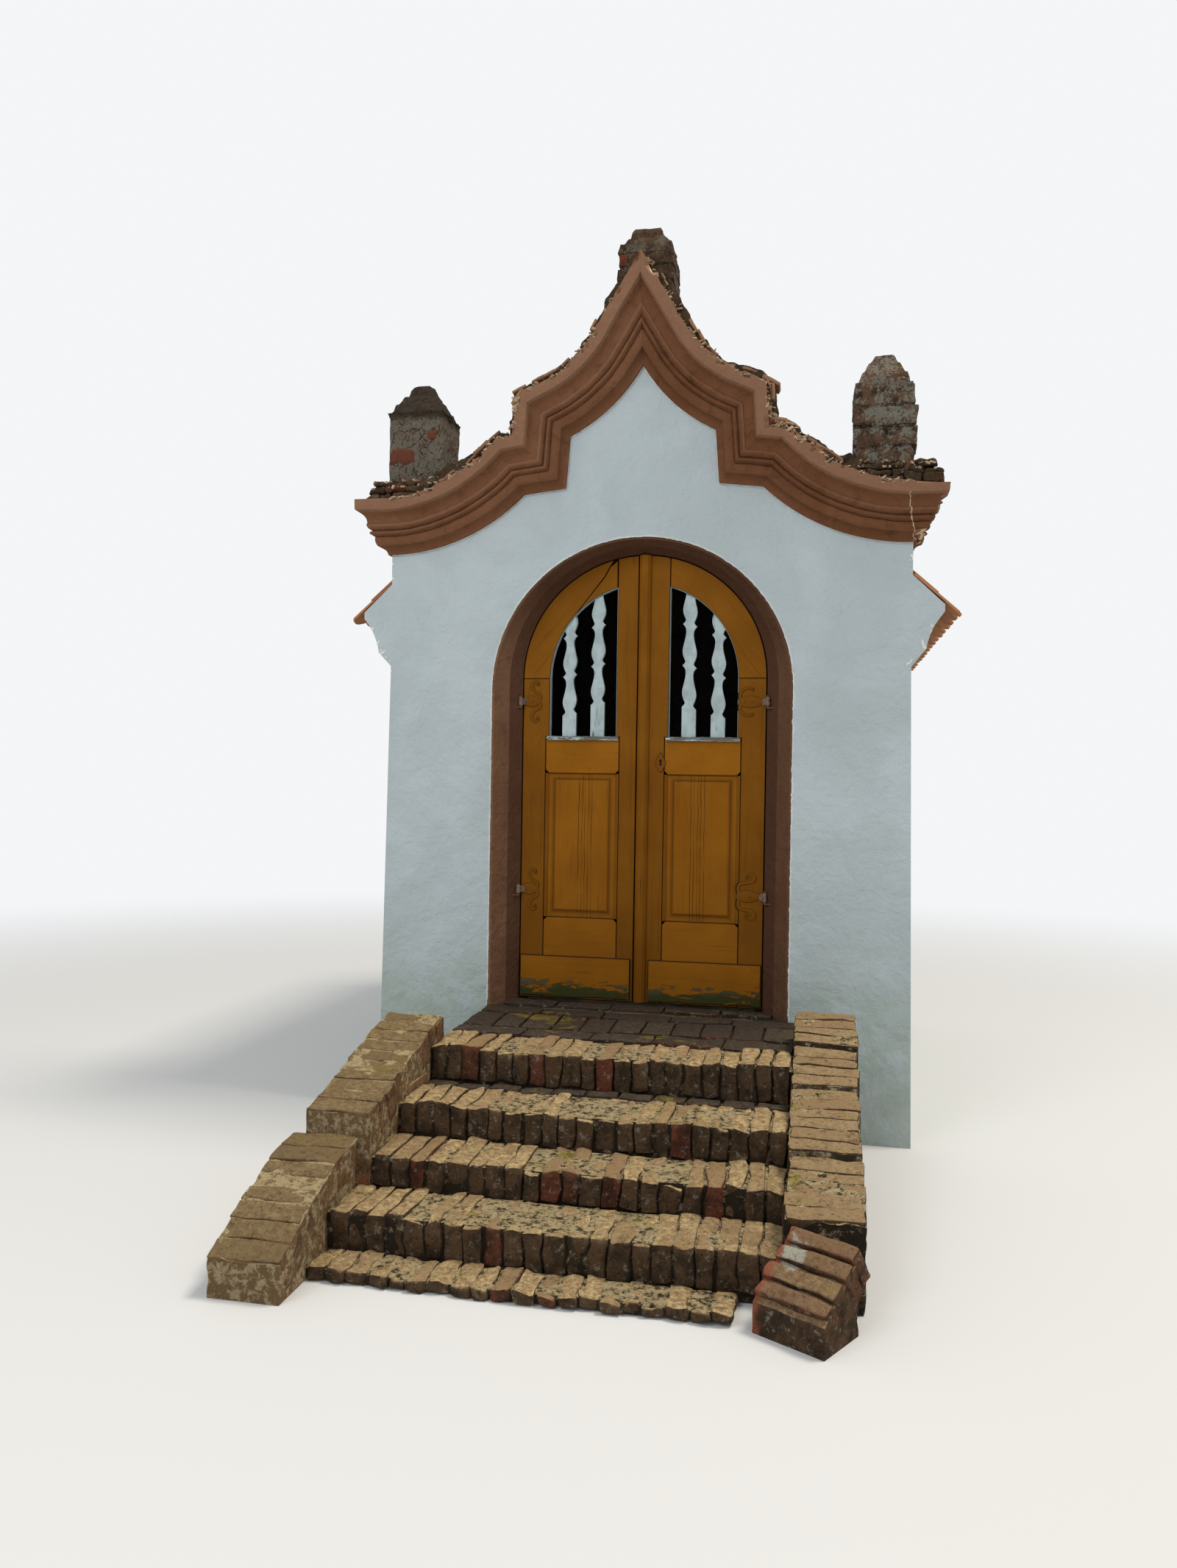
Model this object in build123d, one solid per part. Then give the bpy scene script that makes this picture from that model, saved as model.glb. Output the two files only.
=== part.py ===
from build123d import *
import os
from math import atan, atan2, cos, degrees, radians, sin, sqrt, tan

# Wayside shrine: a small walk-in chapel with an ogee gable, double doors and a brick stair.
# Millimetres. X runs to the right, -Y is the front and Z is up. The origin lies on the ground,
# under the middle of the doorway, in the plane of the front wall.

# Levels above the ground
DOOR_BOTTOM = 600.0
LANDING_DROP = 30.0
FLOOR_DROP = 12.0
FLOOR_THICKNESS = 120.0

# Doorway
ARCH_SPRING = 2254.0
LEAF_PLANE = 130.0
LEAF_THICKNESS = 45.0
LEAF_RADIUS = 622.0
SIDE_CLEARANCE = 8.0
STOP_CLEARANCE = 6.0
STOP_LAP = 32.0
SPLAY = 116.0
CREASE_DEPTH = 75.0
CREASE_SPLAY = 60.0
FRONT_ARCH_DROP = 65.0
LINING_THICKNESS = 14.0

# Walls
HALF_WIDTH = 1310.0
WALL_BATTER = 35.0
FRONT_WALL = 440.0
SIDE_WALL = 300.0
REAR_WALL = 300.0
BUILDING_DEPTH = 3000.0
PARAPET = 300.0

# Gable moulding: its inner line rises from the end to the knee, the notch, the shoulder and the apex
END_RISE = 633.0
KNEE_RISE = 288.0
NOTCH_RISE = 25.0
SHOULDER_RISE = 262.0
APEX_RISE = 335.0
SHOULDER_X = 365.0
NOTCH_STEP = 20.0
LEVEL_RUN = 215.0
UPPER_SAG = 37.0
MOULDING_WIDTH = 260.0
MOULDING_PROJECTION = 150.0
# Shares of the moulding's width and projection at each member's edge, from the wall side outwards
COVE_SHARE = (0.17, 0.38)
BAND_SHARE = (0.34, 0.43)
BEAD_SHARE = (0.41, 0.52)
OVOLO_SHARE = (0.54, 0.72)
TOP_COVE_SHARE = (0.75, 0.90)
LIP_SHARE = 0.10
COVE_BULGE = 0.14
BEAD_BULGE = 0.40
OVOLO_BULGE = 0.18
MEMBER_FLATS = 4

# Masonry on the gable
CAPPING = 60.0
CAPPING_SETBACK = 50.0
SLAB_INSET = 290.0
SLAB_OVERHANG = 130.0
SLAB_THICKNESS = 118.0
PINNACLE_SIZE = 285.0
LEFT_INSET = 118.0
LEFT_SHAFT = 350.0
LEFT_CAP = 175.0
LEFT_TIP = 90.0
RIGHT_INSET = 145.0
RIGHT_SHAFT = 380.0
RIGHT_FOOT_COURSE = 75.0
RIGHT_BAND_HEIGHT = 200.0
RIGHT_BAND_PROJECTION = 22.0
RIGHT_CAP = 175.0
RIGHT_TIP = 75.0
CENTRE_SHAFT = 382.0
CENTRE_CAP = 65.0
CENTRE_TIP = 170.0

# Roof and eaves
EAVES_RISE = 56.0
EAVES_HEIGHT = 280.0
ROOF_PITCH = 43.5
ROOF_THICKNESS = 60.0
EAVES_PROJECTION = 150.0
# Shares of the eaves' projection and height at the knee, the hollow and the tip of their cove
EAVES_KNEE_SHARE = (0.45, 0.25)
EAVES_HOLLOW_SHARE = (0.67, 0.62)
EAVES_TIP_SHARE = (1.0, 0.88)
TILE_OVERHANG = 90.0
REAR_OVERHANG = 30.0
RIDGE_RADIUS = 110.0
RIDGE_THICKNESS = 18.0
RIDGE_BEDDING = 44.0

# Stair, from the landing down: how far each nose is from the one above, and its drop
STAIR_LEFT_MARGIN = 14.0
LOWER_STAIR_MARGIN = 64.0
STAIR_RIGHT_MARGIN = 54.0
BRICK_LENGTH = 290.0
LANDING_DEPTH = 870.0
TREADS = (380.0, 280.0, 280.0, 170.0)
RISERS = (145.0, 125.0, 115.0, 135.0)
LOWER_TREADS_FROM = 3
GROUND_COURSE_INSET = 150.0

# Cheek walls: bricks on edge in sloping groups, each given by its length and its top, back and front
CHEEK_WIDTH = 270.0
RIGHT_CHEEK_BACK = -370.0
RIGHT_CHEEK_LENGTHS = (290.0, 290.0, 440.0, 400.0)
RIGHT_CHEEK_BACKS = (704.0, 608.0, 514.0, 383.0)
RIGHT_CHEEK_FRONTS = (635.0, 528.0, 404.0, 304.0)
LEFT_CHEEK_BACK = -700.0
LEFT_CHEEK_LENGTHS = (270.0, 560.0)
LEFT_CHEEK_BACKS = (668.0, 600.0)
LEFT_CHEEK_FRONTS = (606.0, 455.0)
LOWER_CHEEK_LENGTHS = (350.0, 285.0)
LOWER_CHEEK_TOPS = (366.0, 262.0, 136.0)
LOWER_CHEEK_CROWN = 16.0
END_BLOCK_LENGTH = 220.0
END_BLOCK_BACK = 290.0
END_BLOCK_FRONT = 130.0
END_BLOCK_TURN = 30.0
END_BLOCK_SHIFT = 15.0

# Doors, each leaf from its meeting edge outwards
MEETING_X = -25.0
MEETING_GAP = 6.0
MEETING_BEVEL = 5.0
STILE = 137.0
LIGHT_INNER_X = 135.0
LIGHT_DROP = 299.0
MIDDLE_RAIL = 191.0
PANEL_RISE = 420.0
EDGE_CHAMFER = 16.0
EDGE_CHAMFER_DEPTH = 9.0
PANEL_THICKNESS = 22.0
PANEL_RECESS = 12.0
PANEL_MARGIN = 36.0
FIELD_HEIGHT = 8.0
FIELD_BEVEL = 6.0
LEDGE_HEIGHT = 20.0
LEDGE_PROJECTION = 14.0
LEDGE_SLOPE = 6.0
KICK_HEIGHT = 220.0
KICK_THICKNESS = 14.0
KICK_EDGE = 14.0
KICK_LIFT = 6.0
KICK_SETBACK = 4.0
ASTRAGAL_WIDTH = 58.0
ASTRAGAL_THICKNESS = 24.0
ASTRAGAL_CHAMFER = 13.0

# Balusters of the lights: a plain foot, then vases from ear to ear
BALUSTER_THICKNESS = 20.0
BALUSTER_WIDTH = 72.0
BALUSTER_PITCH = 148.0
BALUSTER_FOOT = 142.0
VASE_HEIGHT = 207.0
VASE_HEIGHTS = (0.0, 0.085, 0.18, 0.26, 0.34, 0.50, 0.60, 0.70, 0.80, 0.88, 0.94, 1.0)
VASE_WIDTHS = (1.0, 0.58, 0.80, 0.95, 1.0, 0.85, 0.71, 0.59, 0.53, 0.56, 0.72, 1.0)

# Hinges
HINGE_OFFSET = 11.0
HINGE_Y = 105.0
LOWER_HINGE_RISE = 560.0
UPPER_HINGE_DROP = 119.0
PIN_RADIUS = 6.0
PIN_LENGTH = 64.0
PIN_CLEARANCE = 0.3
SPIKE_LENGTH = 150.0
EYE_RADIUS = 11.0
EYE_HEIGHT = 44.0
STRAP_THICKNESS = 5.0
STRAP_ARM = 34.0
STRAP_BOSS = 27.0
STRAP_REACH = 64.0
SCROLL_RADIUS = 43.0
SCROLL_WIDTH = 17.0
SCROLL_HEIGHT = 68.0
SCROLL_OPENING = 55.0
SCROLL_SIDES = 18


def along_y(face_xz, y0, y1):
    """Carries a face drawn in the X-Z plane from depth y0 to depth y1."""
    return Pos(0, y1, 0) * extrude(face_xz, amount=y1 - y0, dir=(0, -1, 0))


def box_between(low, high):
    """A block given by its lowest and highest corners."""
    size = [b - a for a, b in zip(low, high)]
    return Pos(*low) * Box(*size, align=(Align.MIN, Align.MIN, Align.MIN))


def polygon_xy(points, z=0.0):
    """A level face at height z from (x, y) points."""
    return make_face(Polyline([(x, y, z) for x, y in points], close=True))


def polygon_xz(points):
    """A face in the X-Z plane from (x, z) points."""
    return make_face(Polyline([(x, 0, z) for x, z in points], close=True))


def polygon_yz(points, x=0.0):
    """A face square to X at x from (y, z) points."""
    return make_face(Polyline([(x, y, z) for y, z in points], close=True))


def mirrored(solid):
    """The same piece on the other side of the middle plane."""
    return mirror(solid, about=Plane.YZ)


# Gable line: an arc down from the apex, a drop, a short level run and a second arc to the end.
# Each offset of the line keeps the arcs concentric and the corners mitred.
END_HEIGHT = ARCH_SPRING + END_RISE
KNEE_HEIGHT = END_HEIGHT + KNEE_RISE
NOTCH_HEIGHT = KNEE_HEIGHT + NOTCH_RISE
SHOULDER_HEIGHT = NOTCH_HEIGHT + SHOULDER_RISE
APEX_HEIGHT = SHOULDER_HEIGHT + APEX_RISE
NOTCH_X = SHOULDER_X + NOTCH_STEP
KNEE_X = NOTCH_X + LEVEL_RUN

upper_chord = sqrt(SHOULDER_X**2 + APEX_RISE**2)
upper_turn = 4 * degrees(atan2(2 * UPPER_SAG, upper_chord))
upper_slope = degrees(atan2(APEX_RISE, SHOULDER_X))
UPPER_RADIUS = (upper_chord / 2) ** 2 / (2 * UPPER_SAG) + UPPER_SAG / 2
lower_run = HALF_WIDTH - KNEE_X
LOWER_RADIUS = (lower_run**2 + KNEE_RISE**2) / (2 * KNEE_RISE)

apex_fall = upper_slope + upper_turn / 2
shoulder_fall = upper_slope - upper_turn / 2
drop_fall = degrees(atan2(SHOULDER_RISE, NOTCH_STEP))
level_fall = degrees(atan2(NOTCH_RISE, LEVEL_RUN))
knee_fall = degrees(atan2(lower_run, LOWER_RADIUS - KNEE_RISE))


def heading(fall):
    """Unit direction along the gable line, where it falls at this angle to the right."""
    return cos(radians(fall)), -sin(radians(fall))


def outward(fall):
    """Unit direction square to the gable line, up and away from the wall."""
    return sin(radians(fall)), cos(radians(fall))


def shifted(point, direction, distance):
    """A point moved along a direction in the X-Z plane."""
    return point[0] + direction[0] * distance, point[1] + direction[1] * distance


def corner(point, fall_before, fall_after, offset):
    """Where the two offset lines on either side of a corner of the gable line meet."""
    half_turn = (fall_after - fall_before) / 2
    start = shifted(point, outward(fall_before), offset)
    return shifted(start, heading(fall_before), offset * tan(radians(half_turn)))


APEX = (0.0, APEX_HEIGHT)
SHOULDER = (SHOULDER_X, SHOULDER_HEIGHT)
NOTCH = (NOTCH_X, NOTCH_HEIGHT)
KNEE = (KNEE_X, KNEE_HEIGHT)
END = (HALF_WIDTH, END_HEIGHT)
UPPER_CENTRE = shifted(APEX, outward(apex_fall), UPPER_RADIUS)
LOWER_CENTRE = (HALF_WIDTH, END_HEIGHT + LOWER_RADIUS)


def gable_points(offset):
    """The corners of the right half of the offset gable line, with its arcs' middle points."""
    apex = (0.0, APEX_HEIGHT + offset / cos(radians(apex_fall)))
    upper_from = shifted(APEX, outward(apex_fall), offset)
    upper_mid = shifted(UPPER_CENTRE, outward(upper_slope), offset - UPPER_RADIUS)
    upper_to = shifted(SHOULDER, outward(shoulder_fall), offset)
    shoulder = corner(SHOULDER, shoulder_fall, drop_fall, offset)
    notch = corner(NOTCH, drop_fall, level_fall, offset)
    knee = corner(KNEE, level_fall, knee_fall, offset)
    lower_from = shifted(KNEE, outward(knee_fall), offset)
    lower_mid = shifted(LOWER_CENTRE, outward(knee_fall / 2), offset - LOWER_RADIUS)
    lower_to = shifted(END, outward(0), offset)
    return (apex, upper_from, upper_mid, upper_to, shoulder, notch, knee, lower_from, lower_mid, lower_to)


def gable_line(offset, side=1):
    """The offset gable line as joined edges, from the apex to one end."""
    flat = [(side * x, 0, z) for x, z in gable_points(offset)]
    apex, u0, u1, u2, shoulder, notch, knee, l0, l1, l2 = flat
    edges = [ThreePointArc(u0, u1, u2), Line(shoulder, notch), Line(notch, knee), ThreePointArc(l0, l1, l2)]
    if offset > 0:
        edges += [Line(apex, u0), Line(u2, shoulder), Line(knee, l0)]
    return edges


def gable_face(offset, foot):
    """The face under the offset gable line, down to the level of its foot."""
    end_x, end_z = gable_points(offset)[-1]
    base = [
        Line((end_x, 0, end_z), (HALF_WIDTH, 0, foot)),
        Line((HALF_WIDTH, 0, foot), (-HALF_WIDTH, 0, foot)),
        Line((-HALF_WIDTH, 0, foot), (-end_x, 0, end_z)),
    ]
    return make_face(gable_line(offset) + gable_line(offset, -1) + base)


# Run moulding: its section, drawn from the inner line (u) outwards, with v standing off the wall
def member(share):
    """A point of the section from its shares of the moulding's width and projection."""
    return share[0] * MOULDING_WIDTH, share[1] * MOULDING_PROJECTION


def bulged(start, end, bulge):
    """Points of a member's curve after its start, in flats that bulge by a share of its length."""
    run = (end[0] - start[0], end[1] - start[1])
    points = []
    for number in range(1, MEMBER_FLATS + 1):
        along = number / MEMBER_FLATS
        off = 4 * bulge * along * (1 - along)
        on_chord = (start[0] + along * run[0], start[1] + along * run[1])
        points.append((on_chord[0] - off * run[1], on_chord[1] + off * run[0]))
    return points


def moulding_section():
    """The section of the run moulding: cove, band, bead, ovolo, top cove and fascia."""
    root = (0, 0)
    lip = member((0, LIP_SHARE))
    cove = member(COVE_SHARE)
    band = member(BAND_SHARE)
    quirk = (band[0], member(BEAD_SHARE)[1])
    bead = member(BEAD_SHARE)
    ovolo = member(OVOLO_SHARE)
    top_cove = member(TOP_COVE_SHARE)
    fascia = (top_cove[0], MOULDING_PROJECTION)
    edge = (MOULDING_WIDTH, MOULDING_PROJECTION)
    back = (MOULDING_WIDTH, 0)
    outline = [root, lip] + bulged(lip, cove, -COVE_BULGE) + [band, quirk]
    outline += bulged(quirk, bead, BEAD_BULGE) + bulged(bead, ovolo, OVOLO_BULGE)
    outline += bulged(ovolo, top_cove, -COVE_BULGE) + [fascia, edge, back]
    return make_face(Polyline(outline, close=True))


def section_at(point, fall):
    """The moulding's section set square to the gable line at a point, ready to be carried on."""
    u_dir, t_dir = outward(fall), heading(fall)
    across, along = (u_dir[0], 0, u_dir[1]), (t_dir[0], 0, t_dir[1])
    return Plane(origin=(point[0], 0, point[1]), x_dir=across, z_dir=along) * moulding_section()


def straight_run(start, fall, length, lead=0.0):
    """A straight length of moulding from a point on the gable line, led back by the given amount."""
    t_dir = heading(fall)
    face = section_at(shifted(start, t_dir, -lead), fall)
    return extrude(face, amount=length + lead, dir=(t_dir[0], 0, t_dir[1]))


def curved_run(start, fall, centre, angle):
    """An arc of moulding that turns about a centre above the gable line."""
    axis = Axis((centre[0], 0, centre[1]), (0, -1, 0))
    return revolve(section_at(start, fall), axis, angle)


def mitre_plane(point, fall_before, fall_after):
    """The plane that halves a corner of the gable line, facing on along the line."""
    t_dir = heading((fall_before + fall_after) / 2)
    return Plane(origin=(point[0], 0, point[1]), x_dir=(0, 1, 0), z_dir=(t_dir[0], 0, t_dir[1]))


def half_moulding():
    """The right half of the gable moulding, mitred at each corner and returned at its end."""
    reach = 2 * MOULDING_WIDTH
    apex_cut = Plane(origin=(0, 0, 0), x_dir=(0, 1, 0), z_dir=(1, 0, 0))
    shoulder_cut = mitre_plane(SHOULDER, shoulder_fall, drop_fall)
    notch_cut = mitre_plane(NOTCH, drop_fall, level_fall)
    knee_cut = mitre_plane(KNEE, level_fall, knee_fall)
    return_cut = Plane(origin=(HALF_WIDTH, 0, 0), x_dir=(0, 0, 1), z_dir=(1, 1, 0))

    upper = split(straight_run(APEX, apex_fall, 0, reach), apex_cut, keep=Keep.TOP)
    upper += curved_run(APEX, apex_fall, UPPER_CENTRE, upper_turn)
    upper += split(straight_run(SHOULDER, shoulder_fall, reach), shoulder_cut, keep=Keep.BOTTOM)

    drop = straight_run(SHOULDER, drop_fall, sqrt(NOTCH_STEP**2 + SHOULDER_RISE**2), reach)
    drop = split(split(drop, shoulder_cut, keep=Keep.TOP), notch_cut, keep=Keep.BOTTOM)

    level = straight_run(NOTCH, level_fall, sqrt(LEVEL_RUN**2 + NOTCH_RISE**2) + reach)
    level = split(split(level, notch_cut, keep=Keep.TOP), knee_cut, keep=Keep.BOTTOM)

    lower = split(straight_run(KNEE, knee_fall, 0, reach), knee_cut, keep=Keep.TOP)
    lower += curved_run(KNEE, knee_fall, LOWER_CENTRE, knee_fall)
    lower += split(straight_run(END, 0, reach), return_cut, keep=Keep.BOTTOM)

    side = Plane(origin=(HALF_WIDTH, -reach, END_HEIGHT), x_dir=(0, 0, 1), z_dir=(0, 1, 0))
    end_return = extrude(side * moulding_section(), amount=PARAPET + reach, dir=(0, 1, 0))
    end_return = split(end_return, return_cut, keep=Keep.TOP)
    return upper + drop + level + lower + end_return


# Doorway: an arched opening whose radius and springing level change with depth
LANDING_TOP = DOOR_BOTTOM - LANDING_DROP
FLOOR_TOP = DOOR_BOTTOM - FLOOR_DROP
OPENING_RADIUS = LEAF_RADIUS + SIDE_CLEARANCE
CLEAR_RADIUS = LEAF_RADIUS - STOP_LAP
LEAF_BACK = LEAF_PLANE + LEAF_THICKNESS
STOP_PLANE = LEAF_BACK + STOP_CLEARANCE
FRONT_RADIUS = OPENING_RADIUS + SPLAY
CREASE_RADIUS = OPENING_RADIUS + SPLAY - CREASE_SPLAY
crease_drop = FRONT_ARCH_DROP * (1 - CREASE_DEPTH / LEAF_PLANE)


def arch_face(radius, spring, y):
    """An arched opening's face at depth y: a half circle on two upright sides."""
    left, right = -radius, radius
    return make_face([
        Line((left, y, LANDING_TOP), (left, y, spring)),
        ThreePointArc((left, y, spring), (0, y, spring + radius), (right, y, spring)),
        Line((right, y, spring), (right, y, LANDING_TOP)),
        Line((right, y, LANDING_TOP), (left, y, LANDING_TOP)),
    ])


def splayed_opening(grow):
    """The splayed reveal as a solid, in two planes that meet at the crease."""
    front = arch_face(FRONT_RADIUS + grow, ARCH_SPRING - FRONT_ARCH_DROP, 0)
    crease = arch_face(CREASE_RADIUS + grow, ARCH_SPRING - crease_drop, CREASE_DEPTH)
    back = arch_face(OPENING_RADIUS + grow, ARCH_SPRING, LEAF_PLANE)
    return loft([front, crease, back], ruled=True)


def straight_opening(radius, y0, y1):
    """An arched opening of one size between two depths."""
    return along_y(arch_face(radius, ARCH_SPRING, 0), y0, y1)


lining_outside = splayed_opening(LINING_THICKNESS)
lining_inside = splayed_opening(0)
doorway = lining_outside + straight_opening(OPENING_RADIUS, LEAF_PLANE, STOP_PLANE)
doorway += straight_opening(CLEAR_RADIUS, STOP_PLANE, FRONT_WALL)

# Roof line on the right side: the underside of the tiles over the walls
EAVES_FOOT = ARCH_SPRING + EAVES_RISE
EAVES_TOP = EAVES_FOOT + EAVES_HEIGHT
roof_slope = tan(radians(ROOF_PITCH))
roof_rise = ROOF_THICKNESS / cos(radians(ROOF_PITCH))
eaves_tip_x = HALF_WIDTH + EAVES_PROJECTION
roof_edge_x = eaves_tip_x + TILE_OVERHANG


def roof_underside(x):
    """Height of the underside of the roof at a distance x from the middle."""
    return EAVES_TOP + (eaves_tip_x - abs(x)) * roof_slope


parts = {}

# Walls
foot_x = HALF_WIDTH + WALL_BATTER
roof_end = BUILDING_DEPTH + REAR_OVERHANG
wall_head = roof_underside(HALF_WIDTH)
ridge_seat = roof_underside(0)
pier = polygon_xz([(0, 0), (foot_x, 0), (HALF_WIDTH, ARCH_SPRING), (0, ARCH_SPRING)])
threshold_block = box_between((0, 0, 0), (CLEAR_RADIUS, FRONT_WALL, LANDING_TOP))
parts["front_wall_right"] = along_y(pier, 0, FRONT_WALL) - doorway - threshold_block
parts["front_wall_left"] = mirrored(parts["front_wall_right"])

under_roof = polygon_xz([(-HALF_WIDTH, ARCH_SPRING), (HALF_WIDTH, ARCH_SPRING), (HALF_WIDTH, wall_head),
                         (0, ridge_seat), (-HALF_WIDTH, wall_head)])
gable_body = along_y(gable_face(MOULDING_WIDTH, ARCH_SPRING), 0, PARAPET)
gable_body += along_y(under_roof, PARAPET, FRONT_WALL)
seat_height = gable_points(MOULDING_WIDTH)[0][1] - PINNACLE_SIZE / 2 * tan(radians(apex_fall))
seat_cut = box_between((-PINNACLE_SIZE, -1, seat_height),
                       (PINNACLE_SIZE, PARAPET + 1, seat_height + APEX_RISE))
parts["front_wall_over_door"] = gable_body - doorway - seat_cut

inner_x = HALF_WIDTH - SIDE_WALL
room_back = BUILDING_DEPTH - REAR_WALL
side_profile = polygon_xz([(inner_x, 0), (foot_x, 0), (HALF_WIDTH, ARCH_SPRING), (HALF_WIDTH, wall_head),
                           (inner_x, roof_underside(inner_x))])
parts["side_wall_right"] = along_y(side_profile, FRONT_WALL, room_back)
parts["side_wall_left"] = mirrored(parts["side_wall_right"])

rear_profile = polygon_xz([(-foot_x, 0), (foot_x, 0), (HALF_WIDTH, ARCH_SPRING), (HALF_WIDTH, wall_head),
                           (0, ridge_seat), (-HALF_WIDTH, wall_head), (-HALF_WIDTH, ARCH_SPRING)])
parts["rear_wall"] = along_y(rear_profile, room_back, BUILDING_DEPTH)

# Coved eaves along both sides: a sloping foot, a hollow and an upright tip
cove_knee, cove_hollow, cove_tip = [
    (HALF_WIDTH + across * EAVES_PROJECTION, 0, EAVES_FOOT + up * EAVES_HEIGHT)
    for across, up in (EAVES_KNEE_SHARE, EAVES_HOLLOW_SHARE, EAVES_TIP_SHARE)
]
cove = make_face([
    Line((HALF_WIDTH, 0, EAVES_FOOT), cove_knee),
    ThreePointArc(cove_knee, cove_hollow, cove_tip),
    Line(cove_tip, (eaves_tip_x, 0, EAVES_TOP)),
    Line((eaves_tip_x, 0, EAVES_TOP), (HALF_WIDTH, 0, wall_head)),
    Line((HALF_WIDTH, 0, wall_head), (HALF_WIDTH, 0, EAVES_FOOT)),
])
parts["eaves_cove_right"] = along_y(cove, 0, BUILDING_DEPTH)
parts["eaves_cove_left"] = mirrored(parts["eaves_cove_right"])

# Roof slopes, which pass beside the parapet at the front, and the ridge tiles
edge_z = roof_underside(roof_edge_x)
slope_profile = polygon_xz([(0, ridge_seat), (roof_edge_x, edge_z), (roof_edge_x, edge_z + roof_rise),
                            (0, ridge_seat + roof_rise)])
parapet_space = box_between((-1, -1, EAVES_FOOT), (HALF_WIDTH, PARAPET, ridge_seat + RIDGE_RADIUS))
parts["roof_slope_right"] = along_y(slope_profile, 0, roof_end) - parapet_space
parts["roof_slope_left"] = mirrored(parts["roof_slope_right"])

ridge_ring = Circle(RIDGE_RADIUS) - Circle(RIDGE_RADIUS - RIDGE_THICKNESS)
ridge_centre = (0, PARAPET, ridge_seat + roof_rise - RIDGE_BEDDING)
ridge_end = Plane(origin=ridge_centre, x_dir=(1, 0, 0), z_dir=(0, 1, 0)) * ridge_ring
ridge = extrude(ridge_end, amount=roof_end - PARAPET)
roof_body = polygon_xz([(0, ridge_seat + roof_rise), (roof_edge_x, edge_z + roof_rise), (roof_edge_x, 0),
                        (-roof_edge_x, 0), (-roof_edge_x, edge_z + roof_rise)])
parts["ridge_tiles"] = ridge - along_y(roof_body, 0, roof_end + 1)

# Floor, and the threshold with its rise behind the leaves
floor_foot = FLOOR_TOP - FLOOR_THICKNESS
parts["floor"] = box_between((-inner_x, FRONT_WALL, floor_foot), (inner_x, room_back, FLOOR_TOP))
sill = box_between((-CLEAR_RADIUS, 0, 0), (CLEAR_RADIUS, FRONT_WALL, LANDING_TOP))
rise = box_between((-CLEAR_RADIUS, STOP_PLANE, LANDING_TOP), (CLEAR_RADIUS, FRONT_WALL, FLOOR_TOP))
parts["threshold"] = sill + rise

# Reveal lining, split at the springing level
lining = lining_outside - lining_inside
above_spring = box_between((-HALF_WIDTH, -1, ARCH_SPRING), (HALF_WIDTH, FRONT_WALL, APEX_HEIGHT))
below_right = box_between((0, -1, 0), (HALF_WIDTH, FRONT_WALL, ARCH_SPRING))
parts["reveal_arch"] = lining & above_spring
parts["reveal_right"] = lining & below_right
parts["reveal_left"] = mirrored(parts["reveal_right"])

# Gable moulding, capping, slabs and pinnacles
parts["gable_moulding_right"] = half_moulding()
parts["gable_moulding_left"] = mirrored(parts["gable_moulding_right"])

slab_top = END_HEIGHT + MOULDING_WIDTH + SLAB_THICKNESS
slab_inner_x = HALF_WIDTH - SLAB_INSET
slab_outer_x = HALF_WIDTH + SLAB_OVERHANG
under_gable = along_y(gable_face(MOULDING_WIDTH, ARCH_SPRING), -MOULDING_PROJECTION - 1, PARAPET + 1)
cap_front = CAPPING_SETBACK - MOULDING_PROJECTION
cap_band = along_y(gable_face(MOULDING_WIDTH + CAPPING, ARCH_SPRING), cap_front, PARAPET) - under_gable
cap_right = cap_band & box_between((PINNACLE_SIZE / 2, cap_front - 1, ARCH_SPRING),
                                   (slab_inner_x, PARAPET + 1, seat_height + APEX_RISE))
parts["gable_capping"] = Compound(children=[cap_right, mirrored(cap_right)])

slab_block = box_between((slab_inner_x, cap_front, END_HEIGHT), (slab_outer_x, PARAPET, slab_top))
slab_bed = box_between((HALF_WIDTH, cap_front - 1, 0),
                       (slab_outer_x + 1, PARAPET + 1, END_HEIGHT + MOULDING_WIDTH))
slab_right = slab_block - under_gable - slab_bed
parts["pinnacle_slabs"] = Compound(children=[slab_right, mirrored(slab_right)])


def tapered_cap(x, foot, size, height, tip):
    """A four-sided cap that narrows evenly from a square foot to a small flat top."""
    base = Pos(x, PINNACLE_SIZE / 2, foot) * Rectangle(size, size)
    return extrude(base, amount=height, taper=degrees(atan((size - tip) / 2 / height)))


def pinnacle(x, foot, shaft, cap, tip):
    """A square brick pinnacle with a tapered cap."""
    half = PINNACLE_SIZE / 2
    body = box_between((x - half, 0, foot), (x + half, PINNACLE_SIZE, foot + shaft))
    return body + tapered_cap(x, foot + shaft, PINNACLE_SIZE, cap, tip)


band_half = PINNACLE_SIZE / 2 + RIGHT_BAND_PROJECTION
left_x, right_x = LEFT_INSET - HALF_WIDTH, HALF_WIDTH - RIGHT_INSET
band_foot = slab_top + RIGHT_FOOT_COURSE
right_band = box_between((right_x - PINNACLE_SIZE / 2, 0, band_foot),
                         (right_x + band_half, PINNACLE_SIZE, band_foot + RIGHT_BAND_HEIGHT))
parts["pinnacle_right"] = pinnacle(right_x, slab_top, RIGHT_SHAFT, RIGHT_CAP, RIGHT_TIP) + right_band
parts["pinnacle_left"] = pinnacle(left_x, slab_top, LEFT_SHAFT, LEFT_CAP, LEFT_TIP)
parts["pinnacle_centre"] = pinnacle(0, seat_height, CENTRE_SHAFT, CENTRE_CAP, CENTRE_TIP)

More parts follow.
